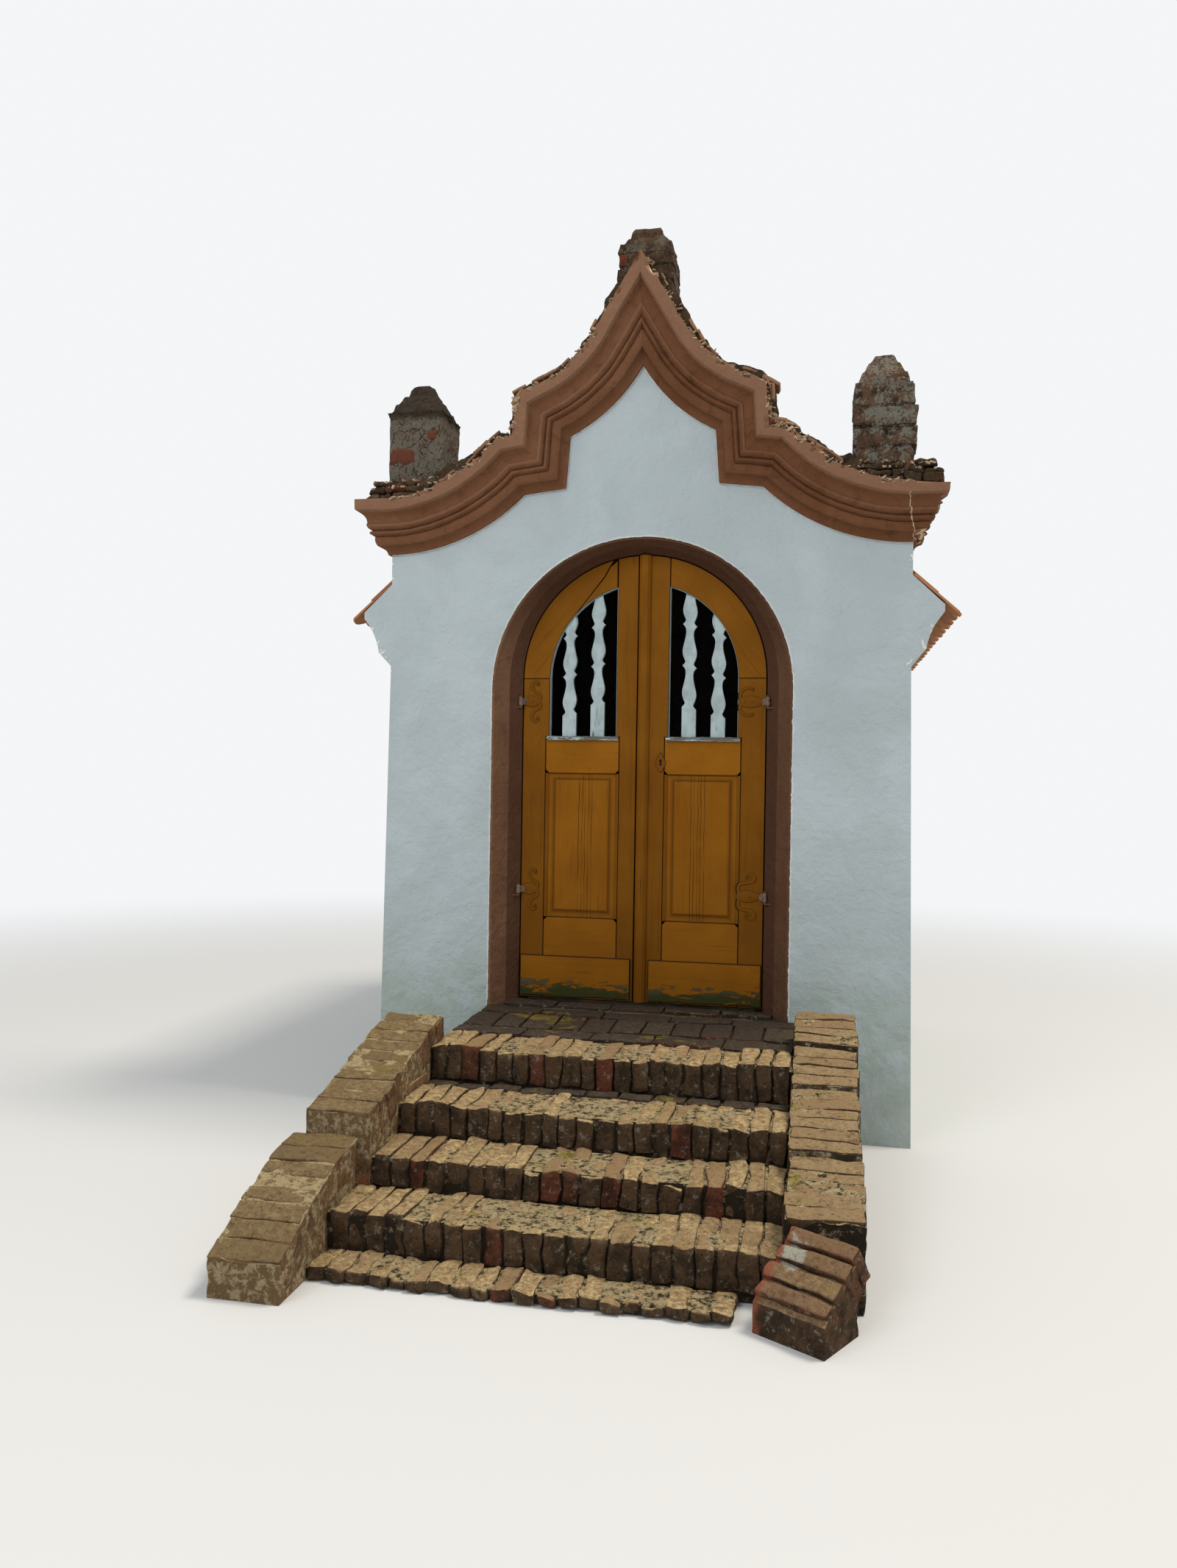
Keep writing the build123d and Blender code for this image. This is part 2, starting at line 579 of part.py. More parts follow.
# Stair: the landing, its edge row, and steps that each stand in front of the one above
STAIR_LEFT = -FRONT_RADIUS - STAIR_LEFT_MARGIN
LOWER_STAIR_LEFT = -FRONT_RADIUS - LOWER_STAIR_MARGIN
STAIR_RIGHT = FRONT_RADIUS + STAIR_RIGHT_MARGIN
step_top = LANDING_TOP
step_front = -LANDING_DEPTH
row_back = BRICK_LENGTH - LANDING_DEPTH
parts["landing"] = box_between((STAIR_LEFT, row_back, 0), (STAIR_RIGHT, 0, LANDING_TOP))
parts["landing_edge"] = box_between((STAIR_LEFT, step_front, 0), (STAIR_RIGHT, row_back, LANDING_TOP))
for number, (tread, riser) in enumerate(zip(TREADS, RISERS), start=1):
    step_top -= riser
    left_end = LOWER_STAIR_LEFT if number >= LOWER_TREADS_FROM else STAIR_LEFT
    right_end = STAIR_RIGHT - GROUND_COURSE_INSET if number == len(TREADS) else STAIR_RIGHT
    parts[f"step_{number}"] = box_between((left_end, step_front - tread, 0),
                                          (right_end, step_front, step_top))
    step_front -= tread


def cheek_wall(x0, x1, back, lengths, backs, fronts):
    """A cheek wall between x0 and x1 whose top falls in sloping groups of bricks, each below the last."""
    outline = [(back, 0.0)]
    y = back
    for length, top_back, top_front in zip(lengths, backs, fronts):
        outline += [(y, top_back), (y - length, top_front)]
        y -= length
    outline.append((y, 0.0))
    return extrude(polygon_yz(outline, x0), amount=x1 - x0, dir=(1, 0, 0))


cheek_x = STAIR_RIGHT + CHEEK_WIDTH
parts["cheek_right"] = cheek_wall(STAIR_RIGHT, cheek_x, RIGHT_CHEEK_BACK, RIGHT_CHEEK_LENGTHS,
                                  RIGHT_CHEEK_BACKS, RIGHT_CHEEK_FRONTS)
parts["cheek_left_upper"] = cheek_wall(STAIR_LEFT - CHEEK_WIDTH, STAIR_LEFT, LEFT_CHEEK_BACK,
                                       LEFT_CHEEK_LENGTHS, LEFT_CHEEK_BACKS, LEFT_CHEEK_FRONTS)

lower_back = LEFT_CHEEK_BACK - sum(LEFT_CHEEK_LENGTHS)
lower_mid = lower_back - LOWER_CHEEK_LENGTHS[0]
lower_front = lower_mid - LOWER_CHEEK_LENGTHS[1]
lower_x = LOWER_STAIR_LEFT - CHEEK_WIDTH
lower_profile = make_face([
    Line((lower_x, lower_back, 0), (lower_x, lower_back, LOWER_CHEEK_TOPS[0])),
    ThreePointArc((lower_x, lower_back, LOWER_CHEEK_TOPS[0]),
                  (lower_x, lower_mid, LOWER_CHEEK_TOPS[1] + LOWER_CHEEK_CROWN),
                  (lower_x, lower_front, LOWER_CHEEK_TOPS[2])),
    Line((lower_x, lower_front, LOWER_CHEEK_TOPS[2]), (lower_x, lower_front, 0)),
    Line((lower_x, lower_front, 0), (lower_x, lower_back, 0)),
])
parts["cheek_left_lower"] = extrude(lower_profile, amount=CHEEK_WIDTH, dir=(1, 0, 0))

end_profile = polygon_yz([(0, 0), (0, END_BLOCK_BACK), (-END_BLOCK_LENGTH, END_BLOCK_FRONT),
                          (-END_BLOCK_LENGTH, 0)])
end_block = extrude(end_profile, amount=CHEEK_WIDTH, dir=(1, 0, 0))
end_place = Pos(STAIR_RIGHT + END_BLOCK_SHIFT, RIGHT_CHEEK_BACK - sum(RIGHT_CHEEK_LENGTHS), 0)
parts["cheek_right_end"] = end_place * Rot(0, 0, -END_BLOCK_TURN) * end_block

# Door leaves. Each is drawn for the right side, with its meeting edge at x = inner.
LIGHT_BOTTOM = ARCH_SPRING - LIGHT_DROP
PANEL_TOP = LIGHT_BOTTOM - MIDDLE_RAIL
PANEL_BOTTOM = DOOR_BOTTOM + PANEL_RISE
LIGHT_RADIUS = LEAF_RADIUS - STILE
HINGE_X = LEAF_RADIUS + HINGE_OFFSET
HINGE_HEIGHTS = (DOOR_BOTTOM + LOWER_HINGE_RISE, ARCH_SPRING - UPPER_HINGE_DROP)


def arched_face(inner, outer, foot):
    """A face from x = inner to x = outer whose head is the part of a circle of radius outer."""
    top = ARCH_SPRING + sqrt(outer**2 - inner**2)
    turn = atan2(inner, top - ARCH_SPRING)
    half_way = (radians(90) + turn) / 2
    middle = (outer * sin(half_way), 0, ARCH_SPRING + outer * cos(half_way))
    return make_face([
        Line((inner, 0, foot), (inner, 0, top)),
        ThreePointArc((inner, 0, top), middle, (outer, 0, ARCH_SPRING)),
        Line((outer, 0, ARCH_SPRING), (outer, 0, foot)),
        Line((outer, 0, foot), (inner, 0, foot)),
    ])


def edge_chamfer(x, side, z0, z1):
    """The wedge cut off an upright edge of an opening at x, on the wood's side of it."""
    wedge = [(x, LEAF_PLANE), (x + side * EDGE_CHAMFER, LEAF_PLANE), (x, LEAF_PLANE + EDGE_CHAMFER_DEPTH)]
    return extrude(polygon_xy(wedge, z0), amount=z1 - z0, dir=(0, 0, 1))


def leaf_frame(inner):
    """Stiles and rails of a leaf, with the light and the panel cut out and their uprights chamfered."""
    frame = along_y(arched_face(inner, LEAF_RADIUS, DOOR_BOTTOM), LEAF_PLANE, LEAF_BACK)
    frame -= along_y(arched_face(LIGHT_INNER_X, LIGHT_RADIUS, LIGHT_BOTTOM), LEAF_PLANE - 1, LEAF_BACK + 1)
    frame -= box_between((LIGHT_INNER_X, LEAF_PLANE - 1, PANEL_BOTTOM),
                         (LIGHT_RADIUS, LEAF_BACK + 1, PANEL_TOP))
    for z0, z1 in ((PANEL_BOTTOM, PANEL_TOP), (LIGHT_BOTTOM, ARCH_SPRING)):
        frame -= edge_chamfer(LIGHT_INNER_X, -1, z0, z1)
        frame -= edge_chamfer(LIGHT_RADIUS, 1, z0, z1)
    bevel = polygon_xy([(inner, LEAF_PLANE), (inner + MEETING_BEVEL, LEAF_BACK), (inner, LEAF_BACK)])
    return frame - extrude(bevel, amount=ARCH_SPRING + LEAF_RADIUS, dir=(0, 0, 1))


def leaf_panel():
    """A panel with a raised and bevelled field, let into the frame."""
    face_y = LEAF_PLANE + PANEL_RECESS
    margin = PANEL_MARGIN
    board = box_between((LIGHT_INNER_X, face_y, PANEL_BOTTOM),
                        (LIGHT_RADIUS, face_y + PANEL_THICKNESS, PANEL_TOP))
    field = box_between((LIGHT_INNER_X + margin, face_y - FIELD_HEIGHT, PANEL_BOTTOM + margin),
                        (LIGHT_RADIUS - margin, face_y, PANEL_TOP - margin))
    front_edges = field.faces().sort_by(Axis.Y)[0].edges()
    return board + chamfer(front_edges, FIELD_BEVEL)


def leaf_ledge():
    """The sloping ledge under the light."""
    foot, front = LIGHT_BOTTOM - LEDGE_HEIGHT, LEAF_PLANE - LEDGE_PROJECTION
    profile = polygon_yz([(LEAF_PLANE, foot), (front, foot), (front, LIGHT_BOTTOM - LEDGE_SLOPE),
                          (LEAF_PLANE, LIGHT_BOTTOM)], LIGHT_INNER_X)
    return extrude(profile, amount=LIGHT_RADIUS - LIGHT_INNER_X, dir=(1, 0, 0))


def leaf_kick_board(inner):
    """The board planted across the foot of the leaf."""
    return box_between((inner + KICK_EDGE, LEAF_PLANE - KICK_THICKNESS, DOOR_BOTTOM + KICK_LIFT),
                       (LEAF_RADIUS - KICK_SETBACK, LEAF_PLANE, DOOR_BOTTOM + KICK_HEIGHT))


def baluster_outline(x):
    """A flat baluster's face: a plain foot and as many vases as reach above the light."""
    half, vase_foot = BALUSTER_WIDTH / 2, LIGHT_BOTTOM + BALUSTER_FOOT
    vases = int((LIGHT_DROP + LIGHT_RADIUS - BALUSTER_FOOT) / VASE_HEIGHT) + 1
    profile = [(half, LIGHT_BOTTOM)]
    for number in range(vases):
        foot = vase_foot + number * VASE_HEIGHT
        profile += [(half * w, foot + h * VASE_HEIGHT) for w, h in zip(VASE_WIDTHS[:-1], VASE_HEIGHTS[:-1])]
    profile.append((half, vase_foot + vases * VASE_HEIGHT))
    right_side = [(x + w, z) for w, z in profile]
    left_side = [(x - w, z) for w, z in reversed(profile)]
    return polygon_xz(right_side + left_side)


def leaf_balusters():
    """Two flat sawn balusters that stand in the light."""
    middle = (LIGHT_INNER_X + LIGHT_RADIUS) / 2
    y0 = (LEAF_PLANE + LEAF_BACK - BALUSTER_THICKNESS) / 2
    light = along_y(arched_face(LIGHT_INNER_X, LIGHT_RADIUS, LIGHT_BOTTOM), 0, FRONT_WALL)
    places = (middle - BALUSTER_PITCH / 2, middle + BALUSTER_PITCH / 2)
    boards = [along_y(baluster_outline(x), y0, y0 + BALUSTER_THICKNESS) for x in places]
    return Compound(children=[board & light for board in boards])


def strap_plate(z):
    """A hinge plate on the leaf's face: a boss with an open scroll above it and below it."""
    boss_x = LEAF_RADIUS - STRAP_REACH
    plate = Pos(boss_x, z) * RegularPolygon(STRAP_BOSS, SCROLL_SIDES)
    for side in (-1, 1):
        scroll = RegularPolygon(SCROLL_RADIUS, SCROLL_SIDES)
        scroll -= RegularPolygon(SCROLL_RADIUS - SCROLL_WIDTH, SCROLL_SIDES)
        gap_x = SCROLL_RADIUS * cos(radians(SCROLL_OPENING))
        scroll -= Pos(gap_x + SCROLL_RADIUS, 0) * Rectangle(2 * SCROLL_RADIUS, 2 * SCROLL_RADIUS)
        plate += Pos(boss_x, z + side * SCROLL_HEIGHT) * scroll
    plate += Pos((boss_x + LEAF_RADIUS) / 2, z) * Rectangle(LEAF_RADIUS - boss_x, STRAP_ARM)
    face_plane = Plane(origin=(0, LEAF_PLANE, 0), x_dir=(1, 0, 0), z_dir=(0, -1, 0))
    return extrude(face_plane * plate, amount=STRAP_THICKNESS)


def leaf_straps():
    """Two hinge plates, each with an arm that ends in an eye round its pin."""
    found = []
    plate_front = LEAF_PLANE - STRAP_THICKNESS
    arm_start = LEAF_RADIUS - 3 * STRAP_THICKNESS
    arm_bend = LEAF_RADIUS - 2 * STRAP_THICKNESS
    plan = [(arm_start, plate_front), (arm_start, LEAF_PLANE), (LEAF_RADIUS - 1, LEAF_PLANE),
            (HINGE_X, HINGE_Y + EYE_RADIUS), (HINGE_X, HINGE_Y), (HINGE_X - EYE_RADIUS, HINGE_Y),
            (arm_bend, plate_front)]
    for z in HINGE_HEIGHTS:
        eye = Pos(HINGE_X, HINGE_Y, z) * Cylinder(EYE_RADIUS, EYE_HEIGHT)
        arm = extrude(polygon_xy(plan, z - STRAP_ARM / 2), amount=STRAP_ARM, dir=(0, 0, 1))
        hole = Pos(HINGE_X, HINGE_Y, z) * Cylinder(PIN_RADIUS + PIN_CLEARANCE, EYE_HEIGHT * 2)
        found.append(eye + strap_plate(z) + arm - hole)
    return Compound(children=found)


def wall_pins():
    """The pins that a leaf hangs on, each with its spike in the reveal."""
    found = []
    for z in HINGE_HEIGHTS:
        foot = z - EYE_HEIGHT / 2 - 2 * PIN_RADIUS
        pin = Pos(HINGE_X, HINGE_Y, foot + PIN_LENGTH / 2) * Cylinder(PIN_RADIUS, PIN_LENGTH)
        spike = box_between((HINGE_X, HINGE_Y - PIN_RADIUS, foot),
                            (HINGE_X + SPIKE_LENGTH, HINGE_Y + PIN_RADIUS, foot + PIN_RADIUS))
        found.append((pin + spike) - lining - parts["front_wall_right"])
    return found


def leaf_astragal(inner):
    """The chamfered cover strip on the meeting edge, as high as the leaf at each point."""
    front, outer = LEAF_PLANE - ASTRAGAL_THICKNESS, inner + ASTRAGAL_WIDTH
    plan = [(inner, LEAF_PLANE), (inner, front + ASTRAGAL_CHAMFER), (inner + ASTRAGAL_CHAMFER, front),
            (outer - ASTRAGAL_CHAMFER, front), (outer, front + ASTRAGAL_CHAMFER), (outer, LEAF_PLANE)]
    full_height = ARCH_SPRING + LEAF_RADIUS - DOOR_BOTTOM
    strip = extrude(polygon_xy(plan, DOOR_BOTTOM), amount=full_height, dir=(0, 0, 1))
    return strip & along_y(arched_face(inner, LEAF_RADIUS, DOOR_BOTTOM), front, LEAF_PLANE)


right_inner = MEETING_X + MEETING_GAP / 2
left_inner = -MEETING_X + MEETING_GAP / 2
parts["leaf_frame_right"] = leaf_frame(right_inner)
parts["leaf_frame_left"] = mirrored(leaf_frame(left_inner))
parts["panel_right"] = leaf_panel()
parts["panel_left"] = mirrored(parts["panel_right"])
parts["ledge_right"] = leaf_ledge()
parts["ledge_left"] = mirrored(parts["ledge_right"])
parts["kick_board_right"] = leaf_kick_board(right_inner + ASTRAGAL_WIDTH)
parts["kick_board_left"] = mirrored(leaf_kick_board(left_inner))
parts["balusters_right"] = leaf_balusters()
parts["balusters_left"] = mirrored(parts["balusters_right"])
parts["hinge_straps_right"] = leaf_straps()
parts["hinge_straps_left"] = mirrored(parts["hinge_straps_right"])
parts["astragal"] = leaf_astragal(right_inner)
pins = wall_pins()
parts["hinge_pins"] = Compound(children=pins + [mirrored(pin) for pin in pins])

os.makedirs("parts", exist_ok=True)
for name, shape in parts.items():
    export_step(shape, f"parts/{name}.step")
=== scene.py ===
"""Looks of the wayside shrine: plaster, run moulding, brickwork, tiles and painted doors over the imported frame."""
import logging
from dataclasses import dataclass, field, replace
from enum import Enum
from functools import reduce
from math import atan2, cos, hypot, pi, radians, sin, tan

import bmesh
import bpy
import numpy as np
from mathutils import Matrix, Vector


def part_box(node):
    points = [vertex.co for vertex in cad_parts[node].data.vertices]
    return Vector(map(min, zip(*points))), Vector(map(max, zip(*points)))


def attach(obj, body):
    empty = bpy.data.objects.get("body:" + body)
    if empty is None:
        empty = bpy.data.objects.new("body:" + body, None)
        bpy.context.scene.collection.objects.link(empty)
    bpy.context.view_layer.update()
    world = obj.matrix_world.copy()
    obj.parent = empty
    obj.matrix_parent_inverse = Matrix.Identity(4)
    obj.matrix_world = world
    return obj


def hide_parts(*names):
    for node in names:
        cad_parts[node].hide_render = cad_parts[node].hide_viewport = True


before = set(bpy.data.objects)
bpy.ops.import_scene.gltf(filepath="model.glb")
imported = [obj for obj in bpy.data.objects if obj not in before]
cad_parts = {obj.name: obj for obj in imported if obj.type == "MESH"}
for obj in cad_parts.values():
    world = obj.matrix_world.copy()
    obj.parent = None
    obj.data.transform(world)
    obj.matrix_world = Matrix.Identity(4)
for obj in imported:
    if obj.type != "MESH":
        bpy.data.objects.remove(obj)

Array = np.ndarray
Random = np.random.Generator
Material = bpy.types.Material
Triple = tuple[float, float, float]
Colour = Triple
Cloud = tuple[float, ...]
Pairs = tuple[tuple[float, float], ...]
GROUND_BRICK_Z = 0.008  # The undersides of the lowest bricks; the ground is at 0.
log = logging.getLogger("shrine")


def hashed(cells: Array, seed: int) -> Array:
    """A value from -1 to 1 for each whole-number lattice cell, from the mixed bits of its coordinates.

    Args:
        cells: Whole-number coordinates, shape (..., 3).
        seed: Which of many unlike lattices to read.

    Returns:
        One value per cell.
    """
    with np.errstate(over="ignore"):
        mixed = cells[..., 0] * 374761393 + cells[..., 1] * 668265263 + cells[..., 2] * 1440662683 + seed * 974634777
        mixed = (mixed ^ (mixed >> 13)) * 1274126177
        mixed = mixed ^ (mixed >> 16)
    return (mixed & 0xFFFF) / 32767.5 - 1.0


def lattice_noise(points: Array, size: float, seed: int) -> Array:
    """Smooth noise: the eight lattice values round a point, blended along each axis by 3t^2 - 2t^3.

    Args:
        points: Places in metres, shape (..., 3).
        size: Size of a lattice cell in metres.
        seed: Which lattice to read.

    Returns:
        One value from -1 to 1 per point.
    """
    scaled = points / size + 31.7
    cells = np.floor(scaled).astype(np.int64)
    t = scaled - cells
    t = t * t * (3 - 2 * t)
    total = np.zeros(points.shape[:-1])
    for corner in np.ndindex(2, 2, 2):
        ahead = np.array(corner[::-1])
        total += np.prod(np.where(ahead == 1, t, 1 - t), axis=-1) * hashed(cells + ahead, seed)
    return total


def rough_noise(points: Array, size: float, seed: int, octaves: int = 3) -> Array:
    """Noise of several sizes added up, each half as large and half as strong as the last."""
    return sum(lattice_noise(points, size / 2**n, seed + n) / 2**n for n in range(octaves))


def shaken(points: Array, amount: Array | float, size: float, seed: int) -> Array:
    """Points moved along all three axes by rough noise of the given amount in metres."""
    moves = np.stack([rough_noise(points, size, seed + 50 * axis, 2) for axis in range(3)], axis=-1)
    return points + moves * np.asarray(amount)[..., None]


def smooth_step(value: Array, low: float, high: float) -> Array:
    """0 below low and 1 above high, with 3t^2 - 2t^3 between."""
    t = np.clip((value - low) / (high - low), 0, 1)
    return t * t * (3 - 2 * t)


def points_of(x: Array | float, y: Array | float, z: Array | float) -> Array:
    """Points from their coordinates, each an array or one number for all."""
    return np.stack(np.broadcast_arrays(x, y, z), axis=-1).astype(float)


def upright(flat: Array, y: Array | float) -> Array:
    """Flat points (x, z) stood up at the depth y."""
    return points_of(flat[..., 0], y, flat[..., 1])


def joints(start: float, end: float, count: int, rng: Random | None = None, play: float = 0.0) -> tuple[Array, Array]:
    """Cuts a stretch into pieces at uneven joints.

    Args:
        start: Where the first piece begins.
        end: Where the last piece ends.
        count: Number of pieces.
        rng: Source of the joints' play, or none where they are even.
        play: Standard deviation of each inner joint.

    Returns:
        The middles and the lengths of the pieces.
    """
    edges = np.linspace(start, end, count + 1)
    if rng:
        edges[1:-1] += rng.normal(0, play, count - 1)
    return (edges[:-1] + edges[1:]) / 2, np.diff(edges)


def grid_faces(rows: int, columns: int, wrap_rows: bool = False, wrap_columns: bool = False) -> Array:
    """Quads between the neighbours of a grid of points kept row by row.

    Args:
        rows: Number of rows of points.
        columns: Number of points in each row.
        wrap_rows: Whether the last row joins the first.
        wrap_columns: Whether each row's last point joins its first.

    Returns:
        Point numbers of the quads, shape (n, 4).
    """
    row = np.arange(rows if wrap_rows else rows - 1)[:, None]
    column = np.arange(columns if wrap_columns else columns - 1)[None, :]
    next_row, next_column = (row + 1) % rows, (column + 1) % columns
    corners = ((row, column), (next_row, column), (next_row, next_column), (row, next_column))
    return np.stack([r * columns + c for r, c in corners], axis=-1).reshape(-1, 4)


@dataclass
class Surface:
    """Points, quads and end faces of a mesh, with a shade per point, gathered before they become an object."""

    points: Array
    quads: Array
    shade: Array
    ends: list[Array] = field(default_factory=list)

    @staticmethod
    def of(points: Array, quads: Array, shade: Array | float = 0.5) -> "Surface":
        """A surface from points of any leading shape, its quads and one shade or a shade per point."""
        flat = np.asarray(points, float).reshape(-1, 3)
        return Surface(flat, quads, np.full(len(flat), float(shade)) if np.ndim(shade) == 0 else np.ravel(shade))

    @staticmethod
    def joined(parts: list["Surface"]) -> "Surface":
        """Several surfaces as one, each part's point numbers raised by the points before it.

        Args:
            parts: The surfaces.

        Returns:
            One surface, with the end faces of all.
        """
        starts = np.cumsum([0] + [len(p.points) for p in parts[:-1]])
        return Surface(np.concatenate([p.points for p in parts]),
                       np.concatenate([p.quads + start for start, p in zip(starts, parts)]),
                       np.concatenate([p.shade for p in parts]),
                       [end + start for start, part in zip(starts, parts) for end in part.ends])

    @staticmethod
    def copies(points: Array, quads: Array, shades: Array) -> "Surface":
        """Many surfaces with the same quads, from points of shape (copies, n, 3) and a shade for each copy.

        Args:
            points: Points, shape (copies, n, 3).
            quads: Point numbers of one copy's quads.
            shades: One shade per copy.

        Returns:
            All copies as one surface.
        """
        copies, count = points.shape[:2]
        numbers = quads[None] + (np.arange(copies) * count)[:, None, None]
        return Surface.of(points, numbers.reshape(-1, 4), np.repeat(np.asarray(shades, float), count))

    def mirrored(self) -> "Surface":
        """The surface on the other side of the middle plane."""
        return replace(self, points=self.points * np.array([-1.0, 1.0, 1.0]))

    def kept_in(self, node: str) -> "Surface":
        """The surface with nothing below the ground or before the front of the named solid."""
        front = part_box(node)[0][1] + 0.001
        return replace(self, points=np.maximum(self.points, np.array([-np.inf, front, 0.0])))


def tube(sections: Array, shade: Array | float = 0.5) -> Surface:
    """A closed skin through rings of points, with its first and last ring filled.

    Args:
        sections: Rings of points, shape (rings, points, 3).
        shade: One shade, or one per point.

    Returns:
        The skin and its two end faces.
    """
    rings, count = sections.shape[:2]
    skin = Surface.of(sections, grid_faces(rings, count, wrap_columns=True), shade)
    skin.ends = [np.arange(count), (rings - 1) * count + np.arange(count)]
    return skin


def finished(name: str, surface: Surface, slot: str, material: Material, nodes: tuple[str, ...] | None = None,
             body: str = "building", crease: float = 40.0) -> None:
    """Makes a surface into an object that rides on a body, with all its faces turned out.

    Args:
        name: The piece's name.
        surface: Its points, faces and shades.
        slot: The record's material slot; not used.
        material: Its finish.
        nodes: The solids that it stands for, or none where the call is left out.
        body: The body that it moves with.
        crease: Edges that bend more than this many degrees stay sharp.
    """
    mesh = bpy.data.meshes.new(name)
    mesh.from_pydata(surface.points, [], surface.quads.tolist() + [end.tolist() for end in surface.ends])
    shades = mesh.attributes.new("shade", "FLOAT", "POINT")
    shades.data.foreach_set("value", np.ascontiguousarray(surface.shade, dtype=np.float32))
    mesh.update()
    piece = bpy.data.objects.new(name, mesh)
    bpy.context.scene.collection.objects.link(piece)
    shell = bmesh.new()
    shell.from_mesh(mesh)
    bmesh.ops.recalc_face_normals(shell, faces=shell.faces)
    shell.to_mesh(mesh)
    shell.free()
    mesh.shade_smooth()
    mesh.set_sharp_from_angle(angle=radians(crease))
    mesh.materials.append(material)
    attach(piece, body)
    if nodes is not None:
        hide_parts(*nodes)
    log.info("%s: %d points, %d faces, on %s", name, len(mesh.vertices), len(mesh.polygons), body)


class Nodes:
    """A node tree, with short ways to add nodes, fill their inputs and link them."""

    def __init__(self, tree: bpy.types.NodeTree) -> None:
        """Keeps the tree."""
        self.tree = tree

    def put(self, target: bpy.types.NodeSocket, value: object) -> None:
        """Links a value or socket to the target, or sets the target to a number or colour.

        Args:
            target: The input.
            value: A value, socket, number or colour.
        """
        source = value.socket if isinstance(value, Value) else value
        if isinstance(source, bpy.types.NodeSocket):
            self.tree.links.new(source, target)
        else:
            target.default_value = (*source, 1.0) if target.type == "RGBA" else source

    def node(self, kind: str, inputs: dict[str | int, object] | None = None, **settings: str) -> bpy.types.Node:
        """Adds a node.

        Args:
            kind: Its type, without the words that all shader nodes share.
            inputs: Values, sockets, numbers or colours by the name or number of the input.
            **settings: The node's own settings, set before its inputs.

        Returns:
            The node.
        """
        node = self.tree.nodes.new(f"ShaderNode{kind}")
        for name, value in settings.items():
            setattr(node, name, value)
        for name, value in (inputs or {}).items():
            self.put(node.inputs[name], value)
        return node

    def math(self, kind: str, a: object, b: object = 0.0) -> "Value":
        """One step of arithmetic on two numbers, values or sockets."""
        return Value(self, self.node("Math", {0: a, 1: b}, operation=kind).outputs[0])


@dataclass(frozen=True)
class Value:
    """An output in a node tree, which takes part in sums as a number does."""

    nodes: Nodes
    socket: bpy.types.NodeSocket

    def __add__(self, other: object) -> "Value":
        """The sum."""
        return self.nodes.math("ADD", self, other)

    def __sub__(self, other: object) -> "Value":
        """The difference."""
        return self.nodes.math("SUBTRACT", self, other)

    def __mul__(self, other: object) -> "Value":
        """The product."""
        return self.nodes.math("MULTIPLY", self, other)

    def __or__(self, other: object) -> "Value":
        """The larger of the two."""
        return self.nodes.math("MAXIMUM", self, other)

    def __abs__(self) -> "Value":
        """The value without its sign."""
        return self.nodes.math("ABSOLUTE", self)


